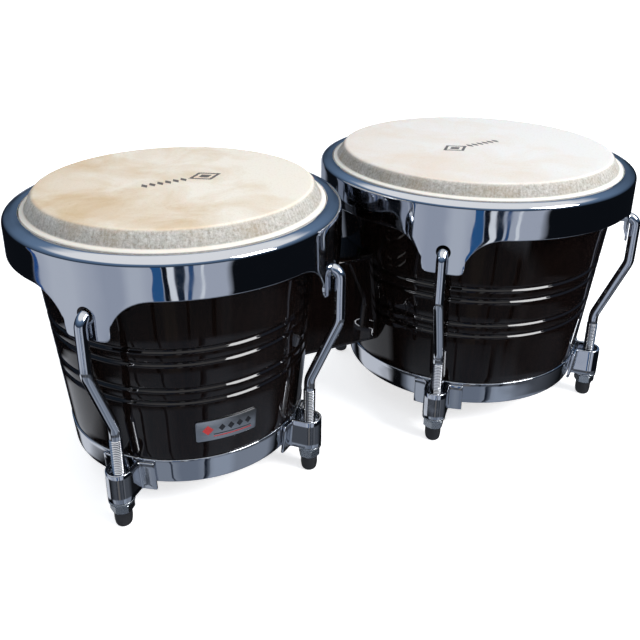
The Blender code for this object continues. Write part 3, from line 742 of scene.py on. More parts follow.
def share(value):
    """The value, held between 0 and 1."""
    return min(max(value, 0.0), 1.0)


def ripple_skin(drum, bm):
    """Pushes the collar in and out, and lets the face sink here and there by a few hundredths."""
    for vertex in bm.verts:
        outward = Vector((vertex.co.x, vertex.co.y, 0))
        outward = outward.normalized() if outward.length > 0.1 else Vector()
        on_collar = share((drum.face - vertex.co.z) / 2.0) * share((vertex.co.z - RIM_TOP + 0.5) / 2.5)
        seed = vertex.co + Vector((drum.axis_x * 3, 0, 0))  # so that the two skins differ
        vertex.co += outward * noise.noise(seed / COLLAR_WAVE) * COLLAR_RIPPLE * on_collar
        if vertex.co.z > drum.face - 0.02:
            vertex.co.z -= abs(noise.noise(seed / FACE_WAVE) * FACE_RIPPLE)


def collar_share(drum, z):
    """0 on the face and on the brim and 1 on the collar between them."""
    return share(min((drum.face - 0.45 - z) / 0.9, (z - RIM_TOP - 0.3) / 0.5))


for drum in DRUMS:
    name = drum.name + "_hide_head"
    bm = turned(hide_section(drum), 192)
    ripple_skin(drum, bm)
    skin = to_mesh(name, bm, drum.at(), sharp=60)
    shares = [collar_share(drum, vertex.co.z / MM) for vertex in skin.vertices]
    skin.attributes.new("collar", "FLOAT", "POINT").data.foreach_set("value", shares)
    head = piece(name, skin, None, "hide", (hides[drum.name],), [drum.name + "_skin"])
    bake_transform(head)
    print(head.name, len(skin.polygons), "faces")

# %% [markdown]
# The flesh hoop is a steel bar bent to a ring, welded, and hidden in the tuck of the hide. It is turned with
# rounded corners, so the skin wraps round it without being cut.

# %% The flesh hoops
for drum in DRUMS:
    inner, outer = drum.hoop_radius, drum.rim_radius - UNDER_RIM - GAP
    corners = ((inner, HOOP_BOTTOM), (outer, HOOP_BOTTOM), (outer, HOOP_TOP), (inner, HOOP_TOP))
    ring = rounded([(r, z, 1.2) for r, z in corners])
    name = drum.name + "_steel_hoop"
    bar = to_mesh(name, turned(ring, 128), drum.at())
    hoop = piece(name, bar, drum.tension, "steel", (mill_steel,), [drum.name + "_flesh_hoop"])
    print(hoop.name, f"radius {inner:.1f} to {outer:.1f} mm")

# %% [markdown]
# ## The rims
#
# A rim is pressed from one strip: the top is rolled over and in, the skirt hangs straight down, and four ears
# reach down to carry the hooks. A lathe can't make the ears, so the plain rim is turned first and then
# reshaped. Its columns of points are spread evenly along the real lower edge, ears included, which packs them
# closely where that edge is steep, and each column is stretched down to meet the edge. The rolled top
# never moves, so it stays perfectly round. The hook holes are then cut through the ears with
# a waisted cutter that leaves both lips chamfered.

# %% The rims
EAR_TIP_Z = 135.6
EAR_HOLE_Z = 151.0
EAR_HOLE_RADIUS = 4.7
COLUMNS = 112  # points along the lower edge of each quarter
STRETCH_FROM_Z = 178.0  # nothing above this height is moved
EDGE_ROUND = 0.7
FLANK_RADIUS, FLANK_X, FLANK_END_X = 25.0, 38.0, 15.5  # the hollow curve from the skirt down to an ear
FLANK_STEPS = 8


def ear_edge(drum):
    """The lower edge of one quarter as (distance along the rim, height), from one middle to the next."""
    half = [(0.0, EAR_TIP_Z, 0), (14.0, EAR_TIP_Z, 9.0), (14.1, 145.4, 1.0), (15.2, 146.4, 0.7)]
    low_angle = math.pi - math.acos((FLANK_X - FLANK_END_X) / FLANK_RADIUS)
    for step in range(FLANK_STEPS + 1):
        angle = low_angle + (math.pi / 2 - low_angle) * step / FLANK_STEPS
        x, z = FLANK_X + FLANK_RADIUS * math.cos(angle), RIM_BOTTOM - FLANK_RADIUS + FLANK_RADIUS * math.sin(angle)
        half.append((x, z, 0))
    half.append((drum.rim_radius * math.pi / 4, RIM_BOTTOM, 0))
    whole = [(-x, z, r) for x, z, r in reversed(half[1:])] + half
    return rounded(whole, steps=6, closed=False)


def evenly(path, count):
    """Points at equal steps of length along a path, without its last end."""
    lengths = [(b - a).length for a, b in zip(path, path[1:])]
    points, leg, passed = [], 0, 0.0
    for i in range(count):
        wanted = sum(lengths) * i / count
        while passed + lengths[leg] < wanted:
            passed += lengths[leg]
            leg += 1
        points.append(path[leg].lerp(path[leg + 1], (wanted - passed) / lengths[leg]))
    return points


def rim_section(drum):
    """The sheet cut through: the rolled lip and its crown, down the skirt's outside and back up its inside."""
    outside, inside = drum.rim_radius, drum.rim_radius - RIM_SHEET
    lip = drum.collar_radius + 3.7
    corners = [
        (lip, RIM_TOP - 1.9, 0.3),
        (lip, RIM_TOP - 0.1, 1.4),
        (lip + 3.6, RIM_TOP + 0.1, 7.0),
        (outside, RIM_TOP - 2.0, 4.6),
        (outside, RIM_BOTTOM, EDGE_ROUND),
        (inside, RIM_BOTTOM, EDGE_ROUND),
        (inside, RIM_TOP - 1.6, 2.6),
        (lip + 1.4, RIM_TOP - 1.9, 0.3),
    ]
    return finer(rounded(corners, steps=7), 2.5)


def rim_mesh(drum):
    """A plain turned rim whose columns are then moved along and down to the real lower edge."""
    bm = turned(rim_section(drum), 4 * COLUMNS)
    edge = evenly(ear_edge(drum), COLUMNS)
    column_angle = math.pi / 2 / COLUMNS
    rolled_edge = RIM_BOTTOM + EDGE_ROUND * 1.5
    for vertex in bm.verts:
        radius, z = math.hypot(vertex.co.x, vertex.co.y), vertex.co.z
        column = round(math.atan2(vertex.co.y, vertex.co.x) / column_angle) % (4 * COLUMNS)
        quarter, place_in_quarter = divmod(column, COLUMNS)
        along, low = edge[place_in_quarter]
        angle = drum.lug(quarter + 1) + along / drum.rim_radius
        if z < rolled_edge:
            z += low - RIM_BOTTOM
        elif z < STRETCH_FROM_Z:
            way_down = (STRETCH_FROM_Z - z) / (STRETCH_FROM_Z - rolled_edge)
            z = STRETCH_FROM_Z - way_down * (STRETCH_FROM_Z - rolled_edge - (low - RIM_BOTTOM))
        vertex.co = (radius * math.cos(angle), radius * math.sin(angle), z)
    return to_mesh(drum.name + "_pressed_rim", bm, drum.at())


def ear_cutters(drum):
    """Waisted bars that cut the four hook holes and chamfer both of their lips."""
    waist = rounded([
        (0.0, -6, 0), (8.0, -6, 0), (EAR_HOLE_RADIUS, -1.15, 1.2), (EAR_HOLE_RADIUS, 0.05, 1.0), (8.0, 5, 0),
        (0.0, 5, 0),
    ])
    in_ear = Matrix.Translation((drum.rim_radius - 0.3, 0, EAR_HOLE_Z)) @ ON_ITS_SIDE
    return [to_mesh("ear_cutter", turned(waist, 40), drum.at_lug(number) @ in_ear) for number in LUGS]


for drum in DRUMS:
    name = drum.name + "_pressed_rim"
    pressed = baked(name, rim_mesh(drum), ear_cutters(drum))
    rim = piece(name, pressed, drum.tension, "chrome", (chrome,), [drum.name + "_rim"])
    print(rim.name, len(pressed.polygons), "faces")

# %% [markdown]
# The foot band is a chromed strip rolled to the shell's taper, with a flange turned in under the wood. Its
# section is the same all round, so it is spun, and its two visible edges are rounded as rolled sheet is.

# %% The foot bands
FLANGE = 8.0
for drum in DRUMS:
    low, high = drum.wall(BAND_BOTTOM) + BAND_PROUD, drum.wall(BAND_TOP) + BAND_PROUD
    lip = BAND_BOTTOM + BAND_SHEET
    strip = rounded([
        (low, BAND_BOTTOM, 1.1),
        (high, BAND_TOP, 0.65),
        (high - BAND_SHEET, BAND_TOP, 0.3),
        (drum.wall(lip) + BAND_PROUD - BAND_SHEET, lip, 0.3),
        (low - FLANGE, lip, 0.5),
        (low - FLANGE, BAND_BOTTOM, 0.5),
    ])
    name = drum.name + "_foot_band"
    rolled = to_mesh(name, turned(finer(strip, 3.0), 160), drum.at())
    band = piece(name, rolled, "frame", "chrome", (chrome,), [drum.name + "_bottom_band"])
    print(band.name, len(rolled.polygons), "faces")

# %% [markdown]
# ## The tuning hooks
#
# A hook is a bent rod. It is drawn as the bender works: a ring of points is pushed forward for a straight and
# spun about the bend's centre for a bend. The tip goes in through the ear, the shank drops, cranks in towards the
# foot and runs straight down as an M8 thread. A thread's slope can't be seen at a pitch of 1.25 mm, so its
# ridges are drawn as rings.

# %% The tuning hooks
ROD, THREAD, THREAD_ROOT = 3.6, 4.0, 3.45  # radii
PITCH = 1.25
FLANK, CREST = PITCH * 0.36, PITCH * 0.14  # the sloping and the level parts of a thread ridge
HOOK_TOP = 150.5
CRANK_TOP, CRANK_BOTTOM = 115.9, 69.6
THREAD_TOP, ROD_END = 62.0, 4.2
TOP_BEND, CRANK_BEND = 5.6, 17.0  # radii of the bends, along the middle of the rod
TIP_INSIDE = 9.0  # how far the tip reaches in from the outside of the rim
RING_POINTS = 20


class Bender:
    """A rod that grows from a ring of points in its own upright plane, the XZ plane. It starts towards +X."""

    def __init__(self, tip, radius):
        self.bm = bmesh.new()
        self.centre, self.heading, self.radius = Vector(tip), Vector((1, 0, 0)), radius
        made = bmesh.ops.create_circle(
            self.bm, cap_ends=True, segments=RING_POINTS, radius=radius,
            matrix=Matrix.Translation(self.centre) @ ON_ITS_SIDE,
        )
        self.ring = list({edge for vertex in made["verts"] for edge in vertex.link_edges})

    def points(self):
        return list({vertex for edge in self.ring for vertex in edge.verts})

    def push(self, length, radius=None):
        """Grows the rod straight ahead, and draws its end in or out to a new radius."""
        grown = bmesh.ops.extrude_edge_only(self.bm, edges=self.ring)["geom"]
        self.ring = [item for item in grown if isinstance(item, bmesh.types.BMEdge)]
        points = self.points()
        bmesh.ops.translate(self.bm, verts=points, vec=self.heading * length)
        self.centre += self.heading * length
        if radius is not None and radius != self.radius:
            about = Matrix.Translation(-self.centre)
            bmesh.ops.scale(self.bm, verts=points, vec=Vector((1, 1, 1)) * radius / self.radius, space=about)
            self.radius = radius

    def bend(self, degrees, radius, steps):
        """Positive degrees turn the rod from +X towards -Z."""
        sideways = Vector((self.heading.z, 0, -self.heading.x)) * (1 if degrees > 0 else -1)
        pivot = self.centre + sideways * radius
        done = bmesh.ops.spin(
            self.bm, geom=self.ring + self.points(), cent=pivot, axis=(0, 1, 0), dvec=(0, 0, 0),
            angle=math.radians(degrees), steps=steps, use_merge=False, use_duplicate=False,
        )
        self.ring = [item for item in done["geom_last"] if isinstance(item, bmesh.types.BMEdge)]
        turn = Matrix.Rotation(math.radians(degrees), 3, "Y")
        self.centre = pivot + turn @ (self.centre - pivot)
        self.heading = turn @ self.heading

    def close(self):
        """Caps the end and returns the finished bmesh."""
        bmesh.ops.contextual_create(self.bm, geom=self.ring)
        return self.bm


def hook_mesh(drum):
    """One hook on the +X side of its drum, from the tip to the end of the thread."""
    start_x = drum.rim_radius - TIP_INSIDE
    in_by, drop = drum.rod_high - drum.rod_low, CRANK_TOP - CRANK_BOTTOM
    lean = math.degrees(math.atan2(in_by, drop))
    crank_reach = CRANK_BEND * math.tan(math.radians(lean / 2))
    rod = Bender((start_x, 0, HOOK_TOP), 2.2)
    rod.push(0.5, 3.0)
    rod.push(0.8, ROD)
    rod.push(drum.rod_high - TOP_BEND - rod.centre.x)
    rod.bend(90, TOP_BEND, 12)
    rod.push(rod.centre.z - CRANK_TOP - crank_reach)
    rod.bend(lean, CRANK_BEND, 6)
    rod.push(math.hypot(in_by, drop) - 2 * crank_reach)
    rod.bend(-lean, CRANK_BEND, 6)
    rod.push(rod.centre.z - THREAD_TOP - 0.6)
    rod.push(0.6, THREAD_ROOT)
    for _ in range(int((THREAD_TOP - ROD_END - 1.5) / PITCH)):
        rod.push(FLANK, THREAD)
        rod.push(CREST)
        rod.push(FLANK, THREAD_ROOT)
        rod.push(CREST)
    rod.push(rod.centre.z - ROD_END, THREAD - 0.9)
    return to_mesh(drum.name + "_hook_pattern", rod.close(), sharp=40)


for drum in DRUMS:
    pattern = hook_mesh(drum)
    for number in LUGS:
        name = f"{drum.name}_tuning_hook_{number}"
        bent = moved_copy(pattern, name, drum.at_lug(number))
        piece(name, bent, drum.tension, "chrome", (chrome,), [f"{drum.name}_hook_{number}"])
    print(drum.name, "hooks,", len(pattern.polygons), "faces each")

# %% [markdown]
# ## The lug brackets
#
# Each lug bracket is a strap folded round the rod and welded to the band by its two curved feet. It is drawn as
# the sheet's middle line, pushed up to its height, and thickened by a Solidify modifier. A Bevel modifier
# then breaks its edges.

# %% The lug brackets
BRACKET_TOP, BRACKET_BOTTOM, BRACKET_SHEET = 40.9, 20.0, 2.0
BRACKET_ROWS = 5
NOSE_RADIUS = 8.3  # outside of the fold round the rod
NOSE_STEPS = 8
FLANGE_REACH = 17.5  # half the width across both feet


def bracket_line(drum, z):
    """The middle of the folded sheet at one height, as (x, y) from one foot's end to the other's."""
    middle = drum.wall(z) + BAND_PROUD + GAP + BRACKET_SHEET / 2
    nose = NOSE_RADIUS - BRACKET_SHEET / 2
    feet = (FLANGE_REACH, FLANGE_REACH - 2.5, FLANGE_REACH - 5.0)
    half = [(math.sqrt(middle * middle - y * y), y, 0) for y in feet]
    half.append((math.sqrt(middle * middle - nose * nose) + 0.1, nose, 2.6))
    for step in range(NOSE_STEPS):
        angle = math.pi / 2 * (1 - step / NOSE_STEPS)
        half.append((drum.rod_low + nose * math.cos(angle), nose * math.sin(angle), 0))
    whole = half + [(drum.rod_low + nose, 0.0, 0)] + [(x, -y, r) for x, y, r in reversed(half)]
    return rounded(whole, steps=5, closed=False)


def bracket_mesh(drum):
    """The folded middle line, pushed up row by row. Each row leans out with the taper of the band."""
    bm = bmesh.new()
    lower = bracket_line(drum, BRACKET_BOTTOM)
    points = [bm.verts.new((x, y, BRACKET_BOTTOM)) for x, y in lower]
    edges = [bm.edges.new(pair) for pair in zip(points, points[1:])]
    for row in range(1, BRACKET_ROWS + 1):
        z = BRACKET_BOTTOM + (BRACKET_TOP - BRACKET_BOTTOM) * row / BRACKET_ROWS
        line = bracket_line(drum, z)
        grown = bmesh.ops.extrude_edge_only(bm, edges=edges)["geom"]
        edges = [item for item in grown if isinstance(item, bmesh.types.BMEdge)]
        for vertex in [item for item in grown if isinstance(item, bmesh.types.BMVert)]:
            below = min(range(len(lower)), key=lambda i: (lower[i] - vertex.co.xy).length)
            vertex.co = (*line[below], z)
        lower = line
    return to_mesh(drum.name + "_bracket_pattern", bm)


def thicken(made, thickness, edge_round):
    """Gives a sheet its thickness on both sides of the drawn middle, then rounds its cut edges."""
    wall = made.modifiers.new("sheet", "SOLIDIFY")
    wall.thickness, wall.offset, wall.use_even_offset = thickness * MM, 0.0, True
    edge = made.modifiers.new("broken edges", "BEVEL")
    edge.width, edge.segments, edge.profile = edge_round * MM, 3, 0.5
    edge.limit_method, edge.angle_limit = "ANGLE", math.radians(50)


for drum in DRUMS:
    pattern = bracket_mesh(drum)
    for number in LUGS:
        name = f"{drum.name}_lug_bracket_{number}"
        folded = moved_copy(pattern, name, drum.at_lug(number))
        bracket = piece(name, folded, "frame", "chrome", (chrome,), [f"{drum.name}_bracket_{number}"])
        thicken(bracket, BRACKET_SHEET, 0.6)
    print(drum.name, "brackets,", len(pattern.polygons), "faces before thickening")

# %% [markdown]
# ## Nuts, washers and caps
#
# A nut starts as a turned blank with both ends chamfered at thirty degrees. The six flats are then
# milled: no point may lie further out than the hexagon. That leaves the curved edges that a real nut has where
# its chamfer meets its flats. Bolt heads are made the same way.

# %% Blanks for nuts and bolt heads
ACROSS_FLATS, NUT_HEIGHT = 13.0, 6.4
CLEAR_BORE = 4.45  # radius of the holes that the thread passes through


def mill_flats(bm, across, from_radius):
    """Draws every point beyond from_radius in to a hexagon, with a corner on +X."""
    sixth = math.pi / 3
    for vertex in bm.verts:
        radius = math.hypot(vertex.co.x, vertex.co.y)
        angle = math.atan2(vertex.co.y, vertex.co.x)
        from_flat = angle % sixth - sixth / 2
        limit = across / 2 / math.cos(from_flat)
        if radius > max(from_radius, limit):
            vertex.co.x, vertex.co.y = limit * math.cos(angle), limit * math.sin(angle)


def nut_blank():
    """A nut cut through before its flats are milled, with a countersink at each end of the bore."""
    flat, corner = ACROSS_FLATS / 2, ACROSS_FLATS / 2 / math.cos(math.pi / 6)
    drop = (corner - flat) * math.tan(math.radians(30)) + 0.25
    corners = [
        (CLEAR_BORE + 0.5, 0, 0), (flat - 0.35, 0, 0.2), (corner + 0.05, drop, 0.25),
        (corner + 0.05, NUT_HEIGHT - drop, 0.25), (flat - 0.35, NUT_HEIGHT, 0.2), (CLEAR_BORE + 0.5, NUT_HEIGHT, 0),
        (CLEAR_BORE, NUT_HEIGHT - 0.6, 0), (CLEAR_BORE, 0.6, 0),
    ]
    return finer(rounded(corners, steps=3), 0.45)


nut_bm = turned(nut_blank(), 72)
mill_flats(nut_bm, ACROSS_FLATS, CLEAR_BORE + 1)
nut_pattern = to_mesh("nut_pattern", nut_bm, sharp=26)
print("a nut has", len(nut_pattern.polygons), "faces")

# %% [markdown]
# A washer and a cap are plain turned parts, so their outlines are spun. A cap is a deep cup that hides the end of
# the rod, narrower at the floor where it wears. The nuts turn on the rods, so each rides on its own body, while the
# caps go down with the hooks and the washers stay on the brackets.

# %% Nuts, washers and caps
WASHER_RADIUS, WASHER_THICKNESS = 8.2, 1.6
WASHER_Z = BRACKET_BOTTOM - GAP - WASHER_THICKNESS
NUT_Z = WASHER_Z - GAP - NUT_HEIGHT
CAP_RADIUS, CAP_TOP = 5.7, NUT_Z - GAP


def disc(name, bore, radius, thickness, edge_round):
    """A round washer, lying on the XY plane."""
    corners = [(bore, 0, 0.2), (radius, 0, edge_round), (radius, thickness, edge_round), (bore, thickness, 0.2)]
    return to_mesh(name, turned(rounded(corners), 64))


washer_pattern = disc("washer_pattern", CLEAR_BORE, WASHER_RADIUS, WASHER_THICKNESS, 0.45)
cap_bore, cap_floor = THREAD + 0.4, ROD_END - GAP
cap_corners = [
    (0.0, 0.0, 0), (4.9, 0.0, 3.4), (CAP_RADIUS - 0.1, 5.2, 3.5), (CAP_RADIUS - 0.1, CAP_TOP - 1.6, 0.2),
    (CAP_RADIUS, CAP_TOP - 1.5, 0.1), (CAP_RADIUS, CAP_TOP, 0.4), (cap_bore, CAP_TOP, 0.2), (cap_bore, cap_floor, 0.3),
    (0.0, cap_floor, 0),
]
cap_pattern = to_mesh("cap_pattern", turned(finer(rounded(cap_corners, steps=6), 1.5), 48))

for drum in DRUMS:
    for number in LUGS:
        small_parts = (
            ("hex_nut", nut_pattern, NUT_Z, f"{drum.name}_nut_{number}_body", "zinc", zinc, "nut"),
            ("flat_washer", washer_pattern, WASHER_Z, "frame", "zinc", zinc, "washer"),
            ("rubber_cap", cap_pattern, 0.0, drum.tension, "rubber", rubber, "foot"),
        )
        for word, pattern, z, body, slot, look, node in small_parts:
            name = f"{drum.name}_{word}_{number}"
            mesh = moved_copy(pattern, name, drum.at_lug(number) @ Matrix.Translation((drum.rod_low, 0, z)))
            piece(name, mesh, body, slot, (look,), [f"{drum.name}_{node}_{number}"])
    print(drum.name, "has", len(LUGS), "each of nuts, washers and caps")

# %% [markdown]
# ## The joining block
#
# The block is a short beam with rounded long edges. Each end is hollowed to sit against its shell, which is done
# by taking a slightly larger cone of that shell's taper away from it.

# %% The joining block
BLOCK_TOP, BLOCK_BOTTOM, BLOCK_DEPTH = 129.5, 59.5, 42.0
BLOCK_ROUND = 4.0
BLOCK_IN_WALL = 12.0  # how far the uncut beam runs into each shell
SCRIBE_GAP = 0.4


def scribe(drum):
    """The cone that hollows one end of the block, a little larger than the shell."""
    low, high = BLOCK_BOTTOM - 5, BLOCK_TOP + 5
    bm = bmesh.new()
    bmesh.ops.create_cone(
        bm, cap_ends=True, segments=256, radius1=drum.wall(low) + SCRIBE_GAP, radius2=drum.wall(high) + SCRIBE_GAP,
        depth=high - low, matrix=Matrix.Translation((drum.axis_x, 0, (low + high) / 2)),
    )
    return to_mesh("scribe", bm)


left = MACHO.axis_x + MACHO.wall(BLOCK_BOTTOM) - BLOCK_IN_WALL
right = HEMBRA.axis_x - HEMBRA.wall(BLOCK_BOTTOM) + BLOCK_IN_WALL
middle = Vector(((left + right) / 2, 0, (BLOCK_TOP + BLOCK_BOTTOM) / 2))
bm = bmesh.new()
bmesh.ops.create_cube(
    bm, size=1,
    matrix=Matrix.Translation(middle) @ Matrix.Diagonal((right - left, BLOCK_DEPTH, BLOCK_TOP - BLOCK_BOTTOM, 1)),
)
long_edges = [e for e in bm.edges if abs(e.verts[0].co.x - e.verts[1].co.x) > 1]
bmesh.ops.bevel(
    bm, geom=long_edges, offset=BLOCK_ROUND, segments=8, profile=0.5, affect="EDGES", material=-1,
    offset_type="OFFSET",
)
cutters = [scribe(MACHO), scribe(HEMBRA)] + bolt_bores(MACHO) + bolt_bores(HEMBRA)
beam = baked("joining_block", to_mesh("joining_block", bm), cutters)
block = piece("joining_block", beam, "frame", "lacquer", (lacquer,), ["centre_block"])
print(block.name, len(beam.polygons), "faces")

# %% [markdown]
# Two bolts per drum come through the wall from inside and pull the block tight; a wide washer spreads their load
# on the wood. The wall is hollow and tapered there, so a flat washer touches it only at its own edge, and where
# that is decides how far from the axis it sits.

# %% The bolts and wide washers
BOLT_IN_BLOCK = 15.0
BOLT_HEAD_HEIGHT = 5.3
WIDE_WASHER, WIDE_WASHER_THICKNESS = 10.0, 1.8
CAD_STEPS = 36  # the facets of the CAD model's bore lie a little inside its circle
wide_pattern = disc("wide_washer_pattern", BORE_RADIUS, WIDE_WASHER, WIDE_WASHER_THICKNESS, 0.5)


def bolt_seat(drum, z):
    """How far from the axis the washer lies flat inside the wall."""
    narrowest = drum.wall(z - WIDE_WASHER) - SHELL_WALL
    return math.sqrt((narrowest * math.cos(math.pi / CAD_STEPS)) ** 2 - WIDE_WASHER**2) - GAP


for drum in DRUMS:
    towards_block = Matrix.Rotation(drum.inward * math.pi / 2, 4, "Y")
    for number, z in enumerate(BOLT_HEIGHTS, start=1):
        washer_face = bolt_seat(drum, z)
        head_face = washer_face - WIDE_WASHER_THICKNESS - GAP
        length = drum.wall(z) + BOLT_IN_BLOCK - head_face
        corners = [
            (0.0, -BOLT_HEAD_HEIGHT, 0), (5.9, -BOLT_HEAD_HEIGHT, 0.3), (7.45, 0.95 - BOLT_HEAD_HEIGHT, 0.3),
            (7.45, 0, 0.2), (BOLT_RADIUS, 0, 0), (BOLT_RADIUS, length - 0.8, 0), (BOLT_RADIUS - 0.8, length, 0),
            (0.0, length, 0),
        ]
        bm = turned(finer(rounded(corners, steps=3), 0.6), 72)
        mill_flats(bm, ACROSS_FLATS - 0.1, BOLT_RADIUS + 1)
        name = f"{drum.name}_hex_bolt_{number}"
        at_seat = Matrix.Translation((drum.axis_x + drum.inward * head_face, 0, z)) @ towards_block
        bolt = to_mesh(name, bm, at_seat, sharp=26)
        piece(name, bolt, "frame", "zinc", (zinc,), [f"{drum.name}_block_bolt_{number}"])
        name = f"{drum.name}_wide_washer_{number}"
        washer_x = drum.axis_x + drum.inward * (washer_face - WIDE_WASHER_THICKNESS)
        washer = moved_copy(wide_pattern, name, Matrix.Translation((washer_x, 0, z)) @ towards_block)
        piece(name, washer, "frame", "zinc", (zinc,), [f"{drum.name}_bolt_washer_{number}"])
    print(drum.name, "has", len(BOLT_HEIGHTS), "bolts and wide washers")

# %% [markdown]
# ## The badge
#
# A badge is a small plate bent to the shell. It is drawn flat, because a flat outline is easy to round, bevel and
# slice, and then wrapped: its width becomes an angle round the drum and its height stays a height. The print is
# a plain motif of bars and lozenges, wrapped in the same way and lying a few hundredths proud of the plate.

# %% The badge
BADGE_WIDTH, BADGE_HEIGHT, BADGE_THICKNESS = 38.4, 14.7, 0.8
BADGE_CORNER = 1.6
BADGE_Z = 62.9  # height of its middle
PRINT = 0.05  # thickness of the enamel
SLICE = 1.2  # width of the flat facets in a bent plate


def flat_plate(outline, thickness, stand=0.0, bevel=0.0):
    """A plate in the XZ plane whose front face looks towards -Y, cut into slices so that it can bend."""
    bm = bmesh.new()
    face = bm.faces.new([bm.verts.new((x, -stand, z)) for x, z in outline])
    raised = bmesh.ops.extrude_face_region(bm, geom=[face], use_keep_orig=True)["geom"]
    front = [item for item in raised if isinstance(item, bmesh.types.BMVert)]
    bmesh.ops.translate(bm, verts=front, vec=(0, -thickness, 0))
    if bevel:
        rim_edges = [e for e in bm.edges if all(v in front for v in e.verts)]
        bmesh.ops.bevel(
            bm, geom=rim_edges, offset=bevel, segments=2, profile=0.5, affect="EDGES", material=-1,
            offset_type="OFFSET",
        )
    low, high = min(p[0] for p in outline), max(p[0] for p in outline)
    slices = max(2, round((high - low) / SLICE))
    for i in range(1, slices):
        geometry = bm.verts[:] + bm.edges[:] + bm.faces[:]
        bmesh.ops.bisect_plane(
            bm, geom=geometry, dist=1e-5, plane_co=(low + (high - low) * i / slices, 0, 0), plane_no=(1, 0, 0)
        )
    return bm


def wrapped(name, bm):
    """Bends a flat plate round the small drum, with its back just clear of the wall."""
    for vertex in bm.verts:
        x, stand, z = vertex.co.x, GAP - vertex.co.y, BADGE_Z + vertex.co.z
        angle = -math.pi / 2 + x / MACHO.wall(BADGE_Z)
        radius = MACHO.wall(z) + stand
        vertex.co = (radius * math.cos(angle), radius * math.sin(angle), z)
    return to_mesh(name, bm, MACHO.at(), sharp=30)


def bar(x, z, half_width, half_height):
    left, right, low, high = x - half_width, x + half_width, z - half_height, z + half_height
    return [(right, low), (right, high), (left, high), (left, low)]


def lozenge(x, z, half_width, half_height):
    return [(x, z - half_height), (x + half_width, z), (x, z + half_height), (x - half_width, z)]


corners = [(x, z, BADGE_CORNER) for x, z in bar(0.0, 0.0, BADGE_WIDTH / 2, BADGE_HEIGHT / 2)]
plate = wrapped("badge_plate", flat_plate(rounded(corners, steps=6), BADGE_THICKNESS, bevel=0.22))
piece("badge_plate", plate, "frame", "badge", (brushed,), ["badge"])


motif = {
    "red": [lozenge(-12.0, 0.6, 3.4, 3.6), bar(3.4, -4.4, 12.0, 0.35)],
    "black": [lozenge(-3.4 + 5.6 * i, 1.2, 2.2, 2.6) for i in range(4)] + [bar(3.4, -2.9, 12.0, 0.3)],
}
for colour, outlines in motif.items():
    for number, outline in enumerate(outlines, start=1):
        name = f"badge_{colour}_print_{number}"
        shape = wrapped(name, flat_plate(outline, PRINT, stand=BADGE_THICKNESS - 0.01))
        piece(name, shape, "frame", "badge", (enamels[colour],))
print("badge plate and", sum(len(outlines) for outlines in motif.values()), "prints")

# %% [markdown]
# ## The studio
#
# The drums stand on a pale floor inside a plain white dome. Both are drawn a little brighter than light alone
# would make them, and both are kept out of mirror reflections, so the chrome shows the studio painted in the next
# cell and not an endless white plane.

# %% The floor and the backdrop
FLOOR_RADIUS = 7.0  # metres


def stage_piece(name, bm, base, glow, **settings):
    """A plain shape that isn't part of the object, and shines evenly."""
    paint, _, shader, _ = new_material("pale studio " + name, **settings)
    shader.inputs["Base Color"].default_value = linear(base)
    shader.inputs["Emission Color"].default_value = linear("#ffffff")
    shader.inputs["Emission Strength"].default_value = glow
    mesh = bpy.data.meshes.new(name)
    bm.to_mesh(mesh)
    bm.free()
    mesh.materials.append(paint)
    made = in_scene(name, mesh)
    made.visible_glossy = False
    made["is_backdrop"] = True
    return made


bm = bmesh.new()
bmesh.ops.create_circle(bm, cap_ends=True, segments=96, radius=FLOOR_RADIUS)
stage_piece("floor", bm, "#f2f2f2", 0.7, Roughness=0.9)
bm = bmesh.new()
bmesh.ops.create_uvsphere(bm, u_segments=64, v_segments=32, radius=FLOOR_RADIUS - 0.01)
bmesh.ops.delete(bm, geom=[v for v in bm.verts if v.co.z < -0.01], context="VERTS")
dome = stage_piece("backdrop", bm, "#000000", 1.0, Specular_IOR_Level=0.0)
dome.visible_diffuse = dome.visible_shadow = False
print("floor and backdrop ready")

# %% [markdown]
# Chrome and lacquer show little of their own colour, so what surrounds them matters more than what they are made
# of. The world is painted as a small studio: a bright ceiling, a blue-grey dusk at eye height, a pale table in
# front and to the left, and a few narrow upright strips where stands and blinds would be. Each strip is laid over
# the ones before it, by its direction round the object; each band lies over the ones below it, by its height.

# %% Helpers for the world
world = bpy.data.worlds.new("studio")
bpy.context.scene.world = world
world.use_nodes = True
tree = world.node_tree
way = tree.nodes.new("ShaderNodeTexCoord").outputs["Generated"]
height = add_node(tree, "ShaderNodeSeparateXYZ", {"Vector": way}).node.outputs["Z"]
FRONT = math.radians(217.0)  # the middle of the table, counted from +X towards +Y
ahead = add_node(
    tree, "ShaderNodeVectorMath", {0: way, 1: (math.cos(FRONT), math.sin(FRONT), 0.0)}, operation="DOT_PRODUCT"
)
aside = add_node(
    tree, "ShaderNodeVectorMath", {0: way, 1: (-math.sin(FRONT), math.cos(FRONT), 0.0)}, operation="DOT_PRODUCT"
)
turn = add_node(tree, "ShaderNodeMath", {0: aside, 1: ahead}, operation="ARCTAN2")


def uprights(code, strips):
    """Lays upright strips over a plain colour, one after another, each fading out at both sides.

    A strip is its middle, half its width and the width of its fade, in degrees from FRONT, and its colour.
    """
    colour = linear(code)
    for middle, half, soft, strip_code in strips:
        off = add_node(tree, "ShaderNodeMath", {0: turn, 1: math.radians(middle)}, operation="SUBTRACT")
        away = add_node(tree, "ShaderNodeMath", {0: off}, operation="ABSOLUTE")
        fade = {
            "Value": away, "From Min": math.radians(half), "From Max": math.radians(half + soft),
            "To Min": 1.0, "To Max": 0.0,
        }
        cover = add_node(tree, "ShaderNodeMapRange", fade)
        mixed = {SHARE: cover, UNDER: colour, OVER: linear(strip_code)}
        colour = add_node(tree, "ShaderNodeMix", mixed, data_type="RGBA")
    return colour


